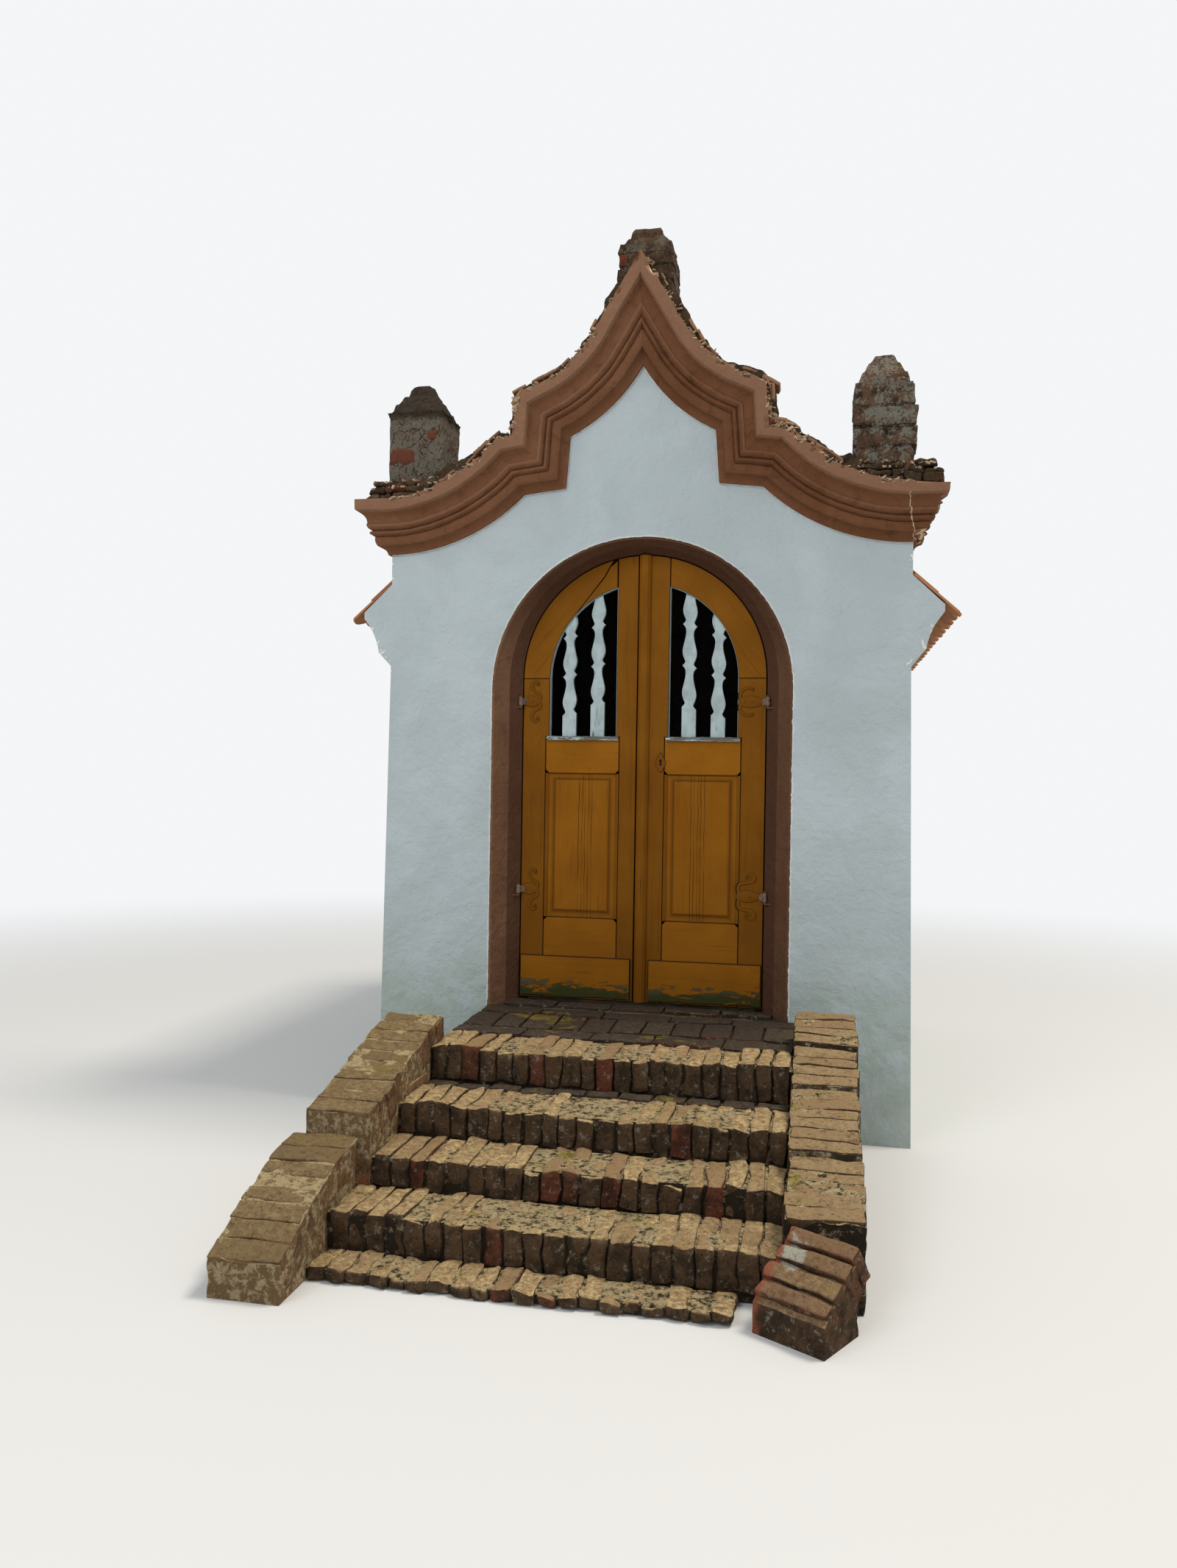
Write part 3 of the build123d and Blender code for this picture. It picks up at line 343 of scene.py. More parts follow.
class Graph(Nodes):
    """A material's nodes: a first colour, what is laid over it, and bumps."""

    def __init__(self, name: str, roughness: float, specular: float, body: Colour) -> None:
        """Starts a material with one Principled shader, the object's own coordinates and a first colour.

        Args:
            name: The material's name.
            roughness: How dull it is, from 0 to 1.
            specular: Strength of its shine.
            body: Its first colour.
        """
        self.material = bpy.data.materials.new(name)
        self.material.use_nodes = True
        super().__init__(self.material.node_tree)
        self.tree.nodes.clear()
        self.shader = self.node("BsdfPrincipled", {"Roughness": roughness, "Specular IOR Level": specular})
        self.output = self.node("OutputMaterial", {0: self.shader.outputs[0]})
        self.place = self.node("TexCoord").outputs["Object"]
        self.x, self.y, self.z = (Value(self, s) for s in self.node("SeparateXYZ", {0: self.place}).outputs)
        self.body = body

    @property
    def shade(self) -> Value:
        """The shade kept at each of the piece's points."""
        return Value(self, self.node("Attribute", attribute_name="shade").outputs["Fac"])

    @property
    def up(self) -> Value:
        """How much the surface faces up, from -1 to 1."""
        return Value(self, self.node("SeparateXYZ", {0: self.node("NewGeometry").outputs["Normal"]}).outputs[2])

    def stretched(self, scale: Triple, turn: float = 0.0) -> bpy.types.NodeSocket:
        """The object's coordinates turned about Y by an angle in degrees and then scaled along each axis.

        Args:
            scale: Factor along each axis.
            turn: Angle about Y in degrees.

        Returns:
            The coordinates' socket.
        """
        turned_place = self.place
        if turn:
            spin = (0.0, radians(turn), 0.0)
            turned_place = self.node("Mapping", {"Rotation": spin, "Vector": self.place}).outputs[0]
        return self.node("Mapping", {"Scale": scale, "Vector": turned_place}).outputs[0]

    def noise(self, scale: float, detail: float = 4.0, rough: float = 0.55, bent: float = 0.0,
              at: bpy.types.NodeSocket | None = None) -> Value:
        """Cloud noise from 0 to 1, with features 1 / scale metres across."""
        inputs = {"Scale": scale, "Detail": detail, "Roughness": rough, "Distortion": bent, "Vector": at or self.place}
        return Value(self, self.node("TexNoise", inputs).outputs["Fac"])

    def cells(self, scale: float, feature: str) -> Value:
        """Distance to the nearest cell edge or cell point of a scattered pattern."""
        node = self.node("TexVoronoi", {"Scale": scale, "Vector": self.place}, feature=feature)
        return Value(self, node.outputs["Distance"])

    def step(self, value: object, low: float, high: float, start: float = 0.0, end: float = 1.0) -> Value:
        """Start below low and end above high, with a smooth step between."""
        inputs = {"Value": value, "From Min": low, "From Max": high, "To Min": start, "To Max": end}
        return Value(self, self.node("MapRange", inputs, interpolation_type="SMOOTHSTEP").outputs[0])

    def within(self, *limits: tuple) -> Value:
        """The product of several steps: 1 where every value is on its right side, 0 elsewhere."""
        return reduce(Value.__mul__, [self.step(*limit) for limit in limits])

    def mix(self, share: object, a: object, b: object) -> Value:
        """Colour a at share 0 and colour b at share 1."""
        return Value(self, self.node("Mix", {0: share, 6: a, 7: b}, data_type="RGBA").outputs[2])

    def lay(self, share: object, tint: object) -> None:
        """Lays a tint over the colour so far, as strong as its share says."""
        self.body = self.mix(share, self.body, tint)

    def cloud(self, tint: object, noise: Cloud, low: float, high: float, most: float = 1.0,
              within: Value | None = None) -> None:
        """Lays a tint in clouds.

        Args:
            tint: The colour.
            noise: Scale, detail, roughness and bend of the clouds.
            low: The noise under which there is no tint.
            high: The noise over which the tint is at its most.
            most: The largest share.
            within: A share that holds the clouds to a place.
        """
        share = self.step(self.noise(*noise), low, high, 0.0, most)
        self.lay(share * within if within else share, tint)

    def bump(self, height: object, distance: float, strength: float = 1.0) -> None:
        """Raises the surface by height times distance metres, on top of what it has.

        Args:
            height: A value or socket.
            distance: Metres for a height of 1.
            strength: Share of the bump that is used.
        """
        node = self.node("Bump", {"Strength": strength, "Distance": distance, "Height": height})
        normal = self.shader.inputs["Normal"]
        if normal.is_linked:
            self.put(node.inputs["Normal"], normal.links[0].from_socket)
        self.put(normal, node.outputs[0])

    def rough(self, *bumps: tuple[Cloud, float, float]) -> None:
        """Bumps made of noise, each with its distance and strength."""
        for noise, distance, strength in bumps:
            self.bump(self.noise(*noise), distance, strength)

    def built(self) -> Material:
        """Gives the shader its colour and returns the material."""
        self.put(self.shader.inputs["Base Color"], self.body)
        return self.material


@dataclass(frozen=True)
class Limewash:
    """Lime plaster, washed white but set bluish grey, partly painted sky shade, with trowel marks and damp low down."""

    name: str = "limewash"
    # wash and thin are darker and bluer than fresh lime: the lime's white with painted sky shade.
    wash: Colour = (0.49, 0.555, 0.58)
    thin: Colour = (0.43, 0.49, 0.505)
    fresh: Colour = (0.76, 0.76, 0.72)
    damp: Colour = (0.310, 0.375, 0.295)
    speck: Colour = (0.28, 0.30, 0.28)
    damp_height: float = 0.75
    corner: float = 1.33
    chipped_from: float = 2.30
    # The next two: the jamb inside the doorway in painted shade, and the room's walls in dust and painted shade.
    jamb_shade: Colour = (0.050, 0.022, 0.012)
    dusty: Colour = (0.15, 0.148, 0.135)
    soil: Colour = (0.055, 0.042, 0.030)

    def build(self) -> Material:
        """Clouds of wash over thin wash, damp rising in an uneven edge, chips along the high corners.

        The doorway's jamb behind the painted reveal is near-black brown, painted shade of the dark inside; the foot
        beside the landing is soiled;
        and the room's walls are a darker grey, dust and painted shade of the dim room: each is a box of steps along X,
        Y and Z.

        Returns:
            The material.
        """
        g = Graph(self.name, 0.92, 0.12, self.thin)
        out = abs(g.x)
        g.cloud(self.wash, (1.6, 5, 0.6, 0.4), 0.35, 0.68)
        g.cloud(self.thin, (6.0, 5, 0.65, 0.3), 0.50, 0.75, 0.35)
        rising = g.step(g.z + g.noise(2.0, 5, 0.6) * -0.9, self.damp_height * 0.1, self.damp_height * 0.9, 0.6, 0.0)
        g.cloud(self.damp, (5.0, 6, 0.65), 0.25, 0.60, within=rising)
        g.cloud(self.speck, (48.0, 3, 0.6), 0.70, 0.78, 0.45)
        cove = out * 0.854 - g.z * 0.52
        edges = (g.within((out, self.corner - 0.07, self.corner - 0.02), (g.z, 2.62, 2.72))
                 | g.within((cove, -0.133, -0.088), (g.y, 0.030, 0.005)))
        high = g.step(g.z, self.chipped_from - 0.06, self.chipped_from, -0.30, 0.0)
        near = g.step(edges, 0.0, 1.0, -0.30, 0.075) + high
        chips = g.step(g.noise(24.0, 5, 0.7, 0.6) + near, 0.60, 0.635)
        g.lay(chips, self.fresh)
        behind = (g.y, 0.445, 0.440)
        # Painted shade: the jamb behind the leaves near-black brown.
        g.lay(g.within((g.y, 0.112, 0.118), behind, (out, 0.72, 0.71), (g.z, 2.95, 2.94)), self.jamb_shade)
        g.lay(g.within((out, 0.765, 0.757), (g.z, 0.600, 0.592), behind), self.soil)
        # Dust and painted shade: the room's walls a darker grey.
        g.lay(g.within((g.y, 0.4385, 0.4395), (g.y, 2.7015, 2.7005), (out, 1.0115, 1.0105)), self.dusty)
        g.rough(((7.0, 5, 0.55, 0.3), 0.022, 0.9), ((38.0, 4, 0.6), 0.006, 0.9), ((150.0, 3, 0.6), 0.0016, 0.9))
        g.bump(chips, 0.003, 0.7)
        return g.built()


@dataclass(frozen=True)
class BrownPaint:
    """Brown paint on run plaster, paler on its raised parts, part wear and part painted highlight, darker in its
    hollows as painted shade, and lost in chips.
    """

    name: str = "brown_render"
    paint: Colour = (0.166, 0.071, 0.034)
    worn: Colour = (0.203, 0.092, 0.047)
    # dark: clouds of dark paint, and painted shade where the shade attribute is low; pale: painted highlight with wear
    # on ridges and the fascia.
    dark: Colour = (0.056, 0.022, 0.011)
    pale: Colour = (0.272, 0.148, 0.090)
    bare: Colour = (0.62, 0.45, 0.28)
    shaded: bool = True
    # crease and inner: beyond that depth the reveal takes the inner brown, painted shade deeper in the doorway.
    crease: float = 0.075
    crack: tuple[float, float, float, float] = (0.0, 3.0, 0.146, 3.095)
    inner: Colour = (0.070, 0.030, 0.016)

    def build(self) -> Material:
        """Two browns in clouds; a shade attribute gives painted shade in hollows and on the lowest band, painted
        highlight with wear on ridges, and bare where high;
        without one, painted shade darkens the reveal towards its soffit, deeper in and on the right.

        Returns:
            The material.
        """
        g = Graph(self.name, 0.88, 0.08, self.paint)
        g.cloud(self.worn, (4.0, 5, 0.6, 0.5), 0.32, 0.70)
        g.cloud(self.dark, (13.0, 6, 0.65, 0.4), 0.52, 0.76, 0.50)
        if self.shaded:
            # Painted shade: dark brown where the shade attribute is low, in hollows and on the lowest members.
            g.lay(g.step(g.shade, 0.02, 0.48, 0.90, 0.0), self.dark)
            # Painted highlight with wear: pale brown where the shade is a little over a half, on ridges and the fascia.
            g.lay(g.step(g.shade, 0.52, 0.66, 0.0, 0.75), self.pale)
            g.lay(g.step(g.shade + g.noise(80.0, 3) * 0.35, 0.96, 1.04), self.bare)
        else:
            # Unshaded, for the reveal: darker towards the arch's soffit, beyond the crease and on the right jamb, all
            # painted shade.
            g.lay(g.step(g.z, 2.30, 2.80, 0.0, 0.65), self.dark)
            g.lay(g.step(g.y, self.crease - 0.002, self.crease + 0.002, 0.0, 0.75), self.inner)
            g.lay(g.step(g.x, 0.15, 0.62, 0.0, 0.50), self.dark)
        if self.crack[0]:
            x, z, lean, top = self.crack
            off = abs(g.x + g.z * lean + g.noise(26.0, 4, 0.6) * 0.040 - (x + lean * z + 0.020))
            line = g.within((off, 0.0012, 0.0034, 1.0, 0.0), (g.z, top - 0.01, top, 1.0, 0.0),
                            (g.y, -0.03, -0.01, 1.0, 0.0))
            g.lay(line, self.bare)
            g.bump(line, -0.004, 0.8)
        g.rough(((20.0, 6, 0.6, 0.3), 0.018, 0.9), ((120.0, 3, 0.6), 0.0024, 0.9))
        return g.built()


@dataclass(frozen=True)
class OldBrick:
    """Worn brick: red to near black sides, dusty and mossy tops, lime blooms and litter; by default the sides' dark
    brown is partly painted shade and the tops' pale dust partly painted sunlight.
    """

    name: str = "old_brick"
    red: Colour = (0.165, 0.052, 0.028)
    # brown and dust: clay and dust, the dark brown also painted shade on the sides and the pale dust painted sunlight
    # on the tops.
    brown: Colour = (0.112, 0.067, 0.036)
    dust: Colour = (0.69, 0.515, 0.255)
    thin_dust: Colour = (0.330, 0.215, 0.110)
    soot: Colour = (0.020, 0.016, 0.011)
    bloom: Colour = (0.25, 0.22, 0.17)
    moss: Colour = (0.24, 0.185, 0.02)
    dust_share: float = 0.95
    moss_share: float = 0.35
    red_ends: bool = False
    lichen: Colour = (0.42, 0.40, 0.32)
    spot: tuple[float, float] = (0.835, -1.885)
    grime: Colour = (0.125, 0.084, 0.045)

    def build(self) -> Material:
        """The brick's own shade picks its clay; dust, litter and moss lie on what faces up, the pale dust also painted
        sunlight; soot in clouds.

        Returns:
            The material.
        """
        g = Graph(self.name, 0.95, 0.10, self.brown)
        g.lay(g.step(g.shade, 0.48, 0.95), self.red)
        g.cloud(self.soot, (9.0, 6, 0.7, 0.3), 0.42, 0.62, 0.70)
        g.cloud(self.bloom, (34.0, 6, 0.75, 0.2), 0.55, 0.65, 0.8)
        up = g.step(g.up, 0.30, 0.80)
        top = g.mix(g.step(g.noise(42.0, 6, 0.8), 0.40, 0.62), self.thin_dust, self.dust)
        dull = g.step(g.shade, 0.1, 0.8, 0.0, 0.85) | g.step(g.noise(3.2, 4, 0.6), 0.50, 0.68, 0.0, 0.70)
        dusty = g.step(g.noise(14.0, 6, 0.75, 0.3), 0.30, 0.46, 0.30, self.dust_share) * up
        # Dust with painted sunlight: the pale dust only on what faces up.
        g.lay(dusty, g.mix(dull, top, self.thin_dust))
        g.cloud(self.moss, (4.5, 5, 0.7, 0.8), 0.56, 0.68, self.moss_share, up)
        if self.red_ends:
            side = g.x * -0.866 + g.y * 0.5 + g.noise(22.0, 5) * 0.07
            g.lay(g.step(side, -1.606, -1.580, 0.0, 0.9), self.red)
            off = abs(g.x - self.spot[0]) + abs(g.y - self.spot[1]) + g.noise(18.0, 6, 0.7) * 0.12
            g.lay(g.step(off, 0.105, 0.125, 1.0, 0.0) * up, self.lichen)
        litter = g.step(g.noise(105.0, 5, 0.75, 0.8), 0.57, 0.63, 0.0, 0.75)
        pits = g.step(g.noise(52.0, 5, 0.75), 0.58, 0.66, 0.0, 0.70)
        g.lay(litter | pits, g.mix(up, self.soot, self.grime))
        g.rough(((40.0, 6, 0.75), 0.016, 1.0), ((150.0, 3, 0.7), 0.003, 1.0))
        g.bump(pits, -0.004, 0.8)
        return g.built()


@dataclass(frozen=True)
class OldMortar:
    """Lime mortar, sandy and crumbled: ochre with litter where it faces up, dark with few blooms elsewhere."""

    name: str = "old_mortar"
    lime: Colour = (0.36, 0.29, 0.18)
    sand: Colour = (0.50, 0.39, 0.21)
    earth: Colour = (0.034, 0.025, 0.016)
    moss: Colour = (0.24, 0.185, 0.02)
    lime_from: float = 0.53
    cloud: float = 17.0

    def build(self) -> Material:
        """Lime blooms over earth, sand on what faces up, moss in patches, dark litter.

        Returns:
            The material.
        """
        g = Graph(self.name, 0.96, 0.10, self.earth)
        up = g.step(g.up, 0.30, 0.80)
        g.cloud(self.lime, (self.cloud, 7, 0.78, 0.2), self.lime_from, self.lime_from + 0.10)
        g.cloud(self.sand, (38.0, 6, 0.75), 0.40, 0.55, within=up)
        g.cloud(self.moss, (5.0, 5, 0.7), 0.54, 0.68, 0.7, up)
        g.cloud(self.earth, (80.0, 5, 0.75), 0.56, 0.64, 0.8)
        g.rough(((34.0, 6, 0.78), 0.022, 1.0), ((120.0, 4, 0.7), 0.004, 1.0))
        return g.built()


@dataclass(frozen=True)
class Lichen:
    """Weathered masonry under lichen: pale crusts over brown brick and dark stone, darker towards its top."""

    name: str = "lichen_masonry"
    stone: Colour = (0.040, 0.027, 0.018)
    clay: Colour = (0.165, 0.100, 0.066)
    red: Colour = (0.175, 0.050, 0.026)
    crust: Colour = (0.27, 0.245, 0.195)
    crust_from: float = 0.50
    crust_share: float = 0.85
    crack_size: float = 0.0
    dark_from: float = 9.0

    def build(self) -> Material:
        """Clay in clouds, red by the shade attribute, crusts, a net of cracks where asked, and a dark top.

        Returns:
            The material.
        """
        g = Graph(self.name, 0.96, 0.08, self.stone)
        g.cloud(self.clay, (15.0, 6, 0.7, 0.2), 0.36, 0.56)
        g.lay(g.step(g.shade, 0.62, 0.90), self.red)
        spread = g.noise(9.0, 5, 0.7) * 0.55 + g.noise(70.0, 5, 0.7) * 0.45
        kept = g.step(g.shade, 0.60, 0.92, 1.0, 0.12)
        g.lay(g.step(spread, self.crust_from, self.crust_from + 0.05, 0.0, self.crust_share) * kept, self.crust)
        if self.crack_size:
            bent = g.cells(1.0 / self.crack_size, "DISTANCE_TO_EDGE") + g.noise(60.0, 4) * 0.30
            lines = g.step(bent, 0.155, 0.185, 0.85, 0.0) * kept
            g.lay(lines, self.stone)
            g.bump(lines, -0.004, 0.8)
        g.cloud(self.stone, (85.0, 5, 0.78), 0.55, 0.63, 0.75, g.step(kept, 0.0, 1.0, 0.35, 1.0))
        top = g.z + g.noise(20.0, 4) * 0.06
        g.lay(g.step(top, self.dark_from, self.dark_from + 0.04, 0.0, 0.85), self.stone)
        g.rough(((46.0, 6, 0.78, 0.2), 0.018, 1.0), ((170.0, 3, 0.6), 0.002, 0.8))
        return g.built()


@dataclass(frozen=True)
class ClayTile:
    """Plain clay roof tiles, orange to brown by the tile, with soot and grey lichen."""

    name: str = "clay_tile"
    orange: Colour = (0.52, 0.215, 0.088)
    brown: Colour = (0.30, 0.125, 0.062)
    soot: Colour = (0.07, 0.048, 0.035)
    lichen: Colour = (0.33, 0.30, 0.22)
    aged: Colour = (0.165, 0.105, 0.070)

    def build(self) -> Material:
        """Each tile's shade picks its clay; soot and lichen lie in clouds on the weathered top.

        Returns:
            The material.
        """
        g = Graph(self.name, 0.9, 0.2, self.brown)
        up = g.step(g.up, 0.1, 0.5)
        g.lay(g.shade, self.orange)
        g.lay(g.step(g.noise(11.0, 5, 0.7, 0.3), 0.30, 0.62, 0.35, 0.85) * up, self.aged)
        g.cloud(self.soot, (6.0, 5, 0.65, 0.5), 0.36, 0.66, 0.75, up)
        g.cloud(self.lichen, (30.0, 5, 0.7), 0.60, 0.70, 0.8, up)
        g.rough(((80.0, 4, 0.6), 0.001, 0.6))
        return g.built()


class Grain(Enum):
    """Which way a board's grain runs: the angle from upright in degrees, turned about Y."""

    UPRIGHT = 0.0
    ACROSS = 90.0
    RISING_LEFT = 38.0
    RISING_RIGHT = -38.0


@dataclass(frozen=True)
class OchrePaint:
    """Thin ochre oil paint on softwood, with its grain, cracks, and wear towards the foot."""

    grain: Grain = Grain.UPRIGHT
    paint: Colour = (0.205, 0.073, 0.0030)
    deep: Colour = (0.120, 0.042, 0.0028)
    light: Colour = (0.260, 0.098, 0.0050)
    # joint: dark of cracks and grain checks, and also the painted shade at board edges and panel creases.
    joint: Colour = (0.022, 0.009, 0.003)
    wood: Colour = (0.078, 0.070, 0.038)
    moss: Colour = (0.034, 0.038, 0.010)
    speck: Colour = (0.42, 0.36, 0.26)
    wear_top: float = 0.0
    cracks: tuple[float, ...] = ()
    tone: float = 1.0
    name: str = "ochre_paint"

    def build(self) -> Material:
        """Grain is stretched noise; where the shade attribute is low, at board edges and panel creases, the joint
        colour is laid as grime and painted shade; wear grows below the wear level.

        Returns:
            The material.
        """
        kind = "_worn" if self.wear_top else "_split" if self.cracks else ""
        paint, deep, light = (tuple(c * self.tone for c in tint) for tint in (self.paint, self.deep, self.light))
        g = Graph(f"{self.name}_{self.grain.name.lower()}{kind}", 0.62, 0.08, paint)

        def along(across: float, run: float, *noise: float) -> Value:
            """Noise stretched along the grain, with features of 1 / across by 1 / run metres."""
            return g.noise(1.0, *noise, at=g.stretched((across, across, run), self.grain.value))

        rings, fine = along(48.0, 2.6, 5, 0.6, 0.7), along(260.0, 9.0, 3, 0.6)
        g.cloud(light, (3.0, 5, 0.6), 0.3, 0.7)
        g.lay(g.step(rings, 0.50, 0.78, 0.0, 0.55), deep)
        g.lay(g.step(fine, 0.60, 0.78, 0.0, 0.40), deep)
        g.lay(g.step(along(85.0, 1.3, 2, 0.5, 0.2), 0.735, 0.76, 0.0, 0.85), self.joint)
        g.lay(g.step(g.z + g.noise(4.0, 5) * -0.6, 0.35, 1.3, 0.38, 0.0), deep)
        wobble = g.noise(9.0, 3) * 0.012
        for number, place in enumerate(self.cracks):
            strength = g.step(g.noise(2.2 + 0.6 * number, 3), 0.36, 0.58, 0.25, 0.9)
            g.lay(g.step(abs(abs(g.x) + wobble - place), 0.0006, 0.0022, 1.0, 0.0) * strength, self.joint)
        g.cloud(self.speck, (3.0, 2), 0.50, 0.60, within=g.step(g.cells(8.0, "F1"), 0.014, 0.024, 0.85, 0.0))
        # Grime and painted shade: the joint colour where the shade attribute is low, at board edges and panel creases.
        g.lay(g.step(g.shade, 0.05, 0.48, 0.95, 0.0), self.joint)
        if self.wear_top:
            height = g.step(g.z, 0.605, self.wear_top, 0.20, -0.13)
            lost = g.step(g.noise(1.0, 8, 0.78, 0.6, at=g.stretched((7.0, 7.0, 24.0))) + height, 0.60, 0.62)
            green = g.step(g.z + g.noise(12.0, 5) * 0.10, 0.69, 0.745, 1.0, 0.0)
            g.lay(lost, g.mix(green, self.wood, self.moss))
            g.bump(lost, -0.0015, 0.8)
        g.bump(rings, 0.0011, 0.6)
        g.bump(fine, 0.0004, 0.6)
        return g.built()


@dataclass(frozen=True)
class WhitePaint:
    """White oil paint, crazed, thin and flaking along the grain."""

    grain: Grain = Grain.UPRIGHT
    paint: Colour = (0.455, 0.545, 0.565)
    dirty: Colour = (0.33, 0.405, 0.415)
    wood: Colour = (0.12, 0.115, 0.095)
    flaking: float = 0.66

    def build(self) -> Material:
        """Dirty clouds over the white, and grey wood showing where stretched noise passes the flaking level.

        Returns:
            The material.
        """
        g = Graph(f"white_paint_{self.grain.name.lower()}", 0.66, 0.3, self.paint)
        along = g.stretched((70.0, 70.0, 7.0), self.grain.value)
        grain = g.noise(1.0, 5, 0.6, 0.5, at=along)
        g.cloud(self.dirty, (18.0, 5, 0.6), 0.35, 0.7)
        g.lay(g.step(grain, 0.45, 0.75, 0.0, 0.4), self.dirty)
        flakes = g.noise(1.0, 6, 0.7, 0.8, at=along) + g.step(g.z, 1.955, 2.03, 0.07, 0.0)
        lost = g.step(flakes, self.flaking, self.flaking + 0.04)
        g.lay(lost, self.wood)
        g.bump(grain, 0.0009, 0.8)
        g.bump(lost, -0.0008, 0.8)
        return g.built()


@dataclass(frozen=True)
class OldIron:
    """Iron painted over with the door or the reveal, rusty where the paint has gone."""

    name: str = "strap_iron"
    paint: Colour = (0.172, 0.061, 0.003)
    rust: Colour = (0.075, 0.027, 0.006)
    # Laid where the shade attribute is low: grime and painted shadow round plates, arms and nail heads.
    dirt_and_edge_shade: Colour = (0.020, 0.008, 0.003)
    rust_from: float = 0.60
    rust_share: float = 0.35
    shaded: bool = True

    def build(self) -> Material:
        """Paint with rust in fine clouds, and a dark brown where the shade attribute is low: grime and painted shadow
        round the edges.

        Returns:
            The material.
        """
        g = Graph(self.name, 0.62, 0.08, self.paint)
        g.cloud(self.rust, (60.0, 5, 0.65, 0.4), self.rust_from, self.rust_from + 0.14, self.rust_share)
        if self.shaded:
            # Grime and painted shadow at the edges of plates, arms and nails.
            g.lay(g.step(g.shade, 0.05, 0.48, 0.95, 0.0), self.dirt_and_edge_shade)
        g.rough(((110.0, 4, 0.6), 0.0008, 0.8))
        return g.built()


@dataclass(frozen=True)
class PlainGround:
    """A surface in one pair of close colours with a fine bump, for floors, boards and dark hollows."""

    name: str
    first: Colour
    second: Colour
    scale: float = 8.0
    depth: float = 0.004

    def build(self) -> Material:
        """The two colours in clouds.

        Returns:
            The material.
        """
        g = Graph(self.name, 0.9, 0.2, self.first)
        g.cloud(self.second, (self.scale, 4), 0.35, 0.65)
        g.rough(((self.scale * 6, 4), self.depth, 0.7))
        return g.built()


@dataclass
class Blocks:
    """Rounded blocks of masonry: many at once, each with its own size, place, turn and shade."""

    cuts: tuple[float, ...] = (-1.0, -0.9, -0.55, 0.0, 0.55, 0.9, 1.0)

    def template(self) -> tuple[Array, Array]:
        """Points on a cube from -1 to 1, cut at the given shares on every face, and its quads.

        Returns:
            Points of shape (n, 3) without doubles, and quads of shape (m, 4).
        """
        cuts = np.array(self.cuts)
        a, b = np.meshgrid(cuts, cuts, indexing="ij")
        sides = [np.stack(np.roll([np.full_like(a, end), a, b], axis, axis=0), axis=-1).reshape(-1, 3)
                 for axis in range(3) for end in (-1.0, 1.0)]
        faces = [grid_faces(len(cuts), len(cuts)) + number * a.size for number in range(6)]
        points, numbers = np.unique(np.round(np.concatenate(sides), 6), axis=0, return_inverse=True)
        return points, np.ravel(numbers)[np.concatenate(faces)]

    def laid(self, centres: Array, sizes: Array, shades: Array, turns: Array | None = None, round_off: float = 0.008,
             wear: float = 0.004, seed: int = 1) -> Surface:
        """Blocks whose edges are rounded and whose faces are worn.

        Each cube point is clamped into the box less the rounding and pushed back out along its remainder, which
        rounds every edge alike; rough noise then wears it.

        Args:
            centres: Middle of each block, shape (n, 3).
            sizes: Full sizes along the block's own axes, shape (n, 3).
            shades: One shade per block.
            turns: Rotation matrices, shape (n, 3, 3), or none.
            round_off: Radius of the edges in metres.
            wear: Amount of noise in metres.
            seed: Which noise to use.

        Returns:
            All blocks as one surface.
        """
        cube, quads = self.template()
        half = np.asarray(sizes, float) / 2
        radius = np.minimum(round_off, half.min(axis=1) * 0.8)[:, None, None]
        box = cube[None] * half[:, None]
        inner = np.clip(box, radius - half[:, None], half[:, None] - radius)
        rest = box - inner
        length = np.maximum(np.linalg.norm(rest, axis=-1, keepdims=True), 1e-9)
        local = inner + rest / length * np.minimum(length, radius)
        if turns is not None:
            local = np.einsum("nij,nkj->nki", turns, local)
        placed = shaken(local + np.asarray(centres, float)[:, None], wear, 0.045, seed)
        return Surface.copies(shaken(placed, wear * 0.8, 0.16, seed + 7), quads, shades)

    def filled(self, low: Array, high: Array, round_off: float, wear: float, seed: int) -> Surface:
        """One block between two corners, as laid makes it, in a middling shade."""
        return self.laid([(low + high) / 2], [high - low], [0.3], None, round_off, wear, seed)


FINE = Blocks(tuple(np.linspace(-1, 1, 15)))
FINEST = Blocks(tuple(np.linspace(-1, 1, 25)))
BRICK = Blocks()
PLAIN = Blocks((-1.0, -0.9, 0.0, 0.9, 1.0))
CRUMB = Blocks((-1.0, 0.0, 1.0))


def turned(angles: Array, axis: int) -> Array:
    """Rotation matrices about one axis, one per angle in radians.

    Args:
        angles: Angles in radians, shape (n,).
        axis: 0, 1 or 2 for X, Y or Z.

    Returns:
        Matrices, shape (n, 3, 3).
    """
    c, s, i, j = np.cos(angles), np.sin(angles), (axis + 1) % 3, (axis + 2) % 3
    out = np.zeros((len(angles), 3, 3))
    out[:, axis, axis] = 1.0
    out[:, i, i], out[:, i, j], out[:, j, i], out[:, j, j] = c, -s, s, c
    return out


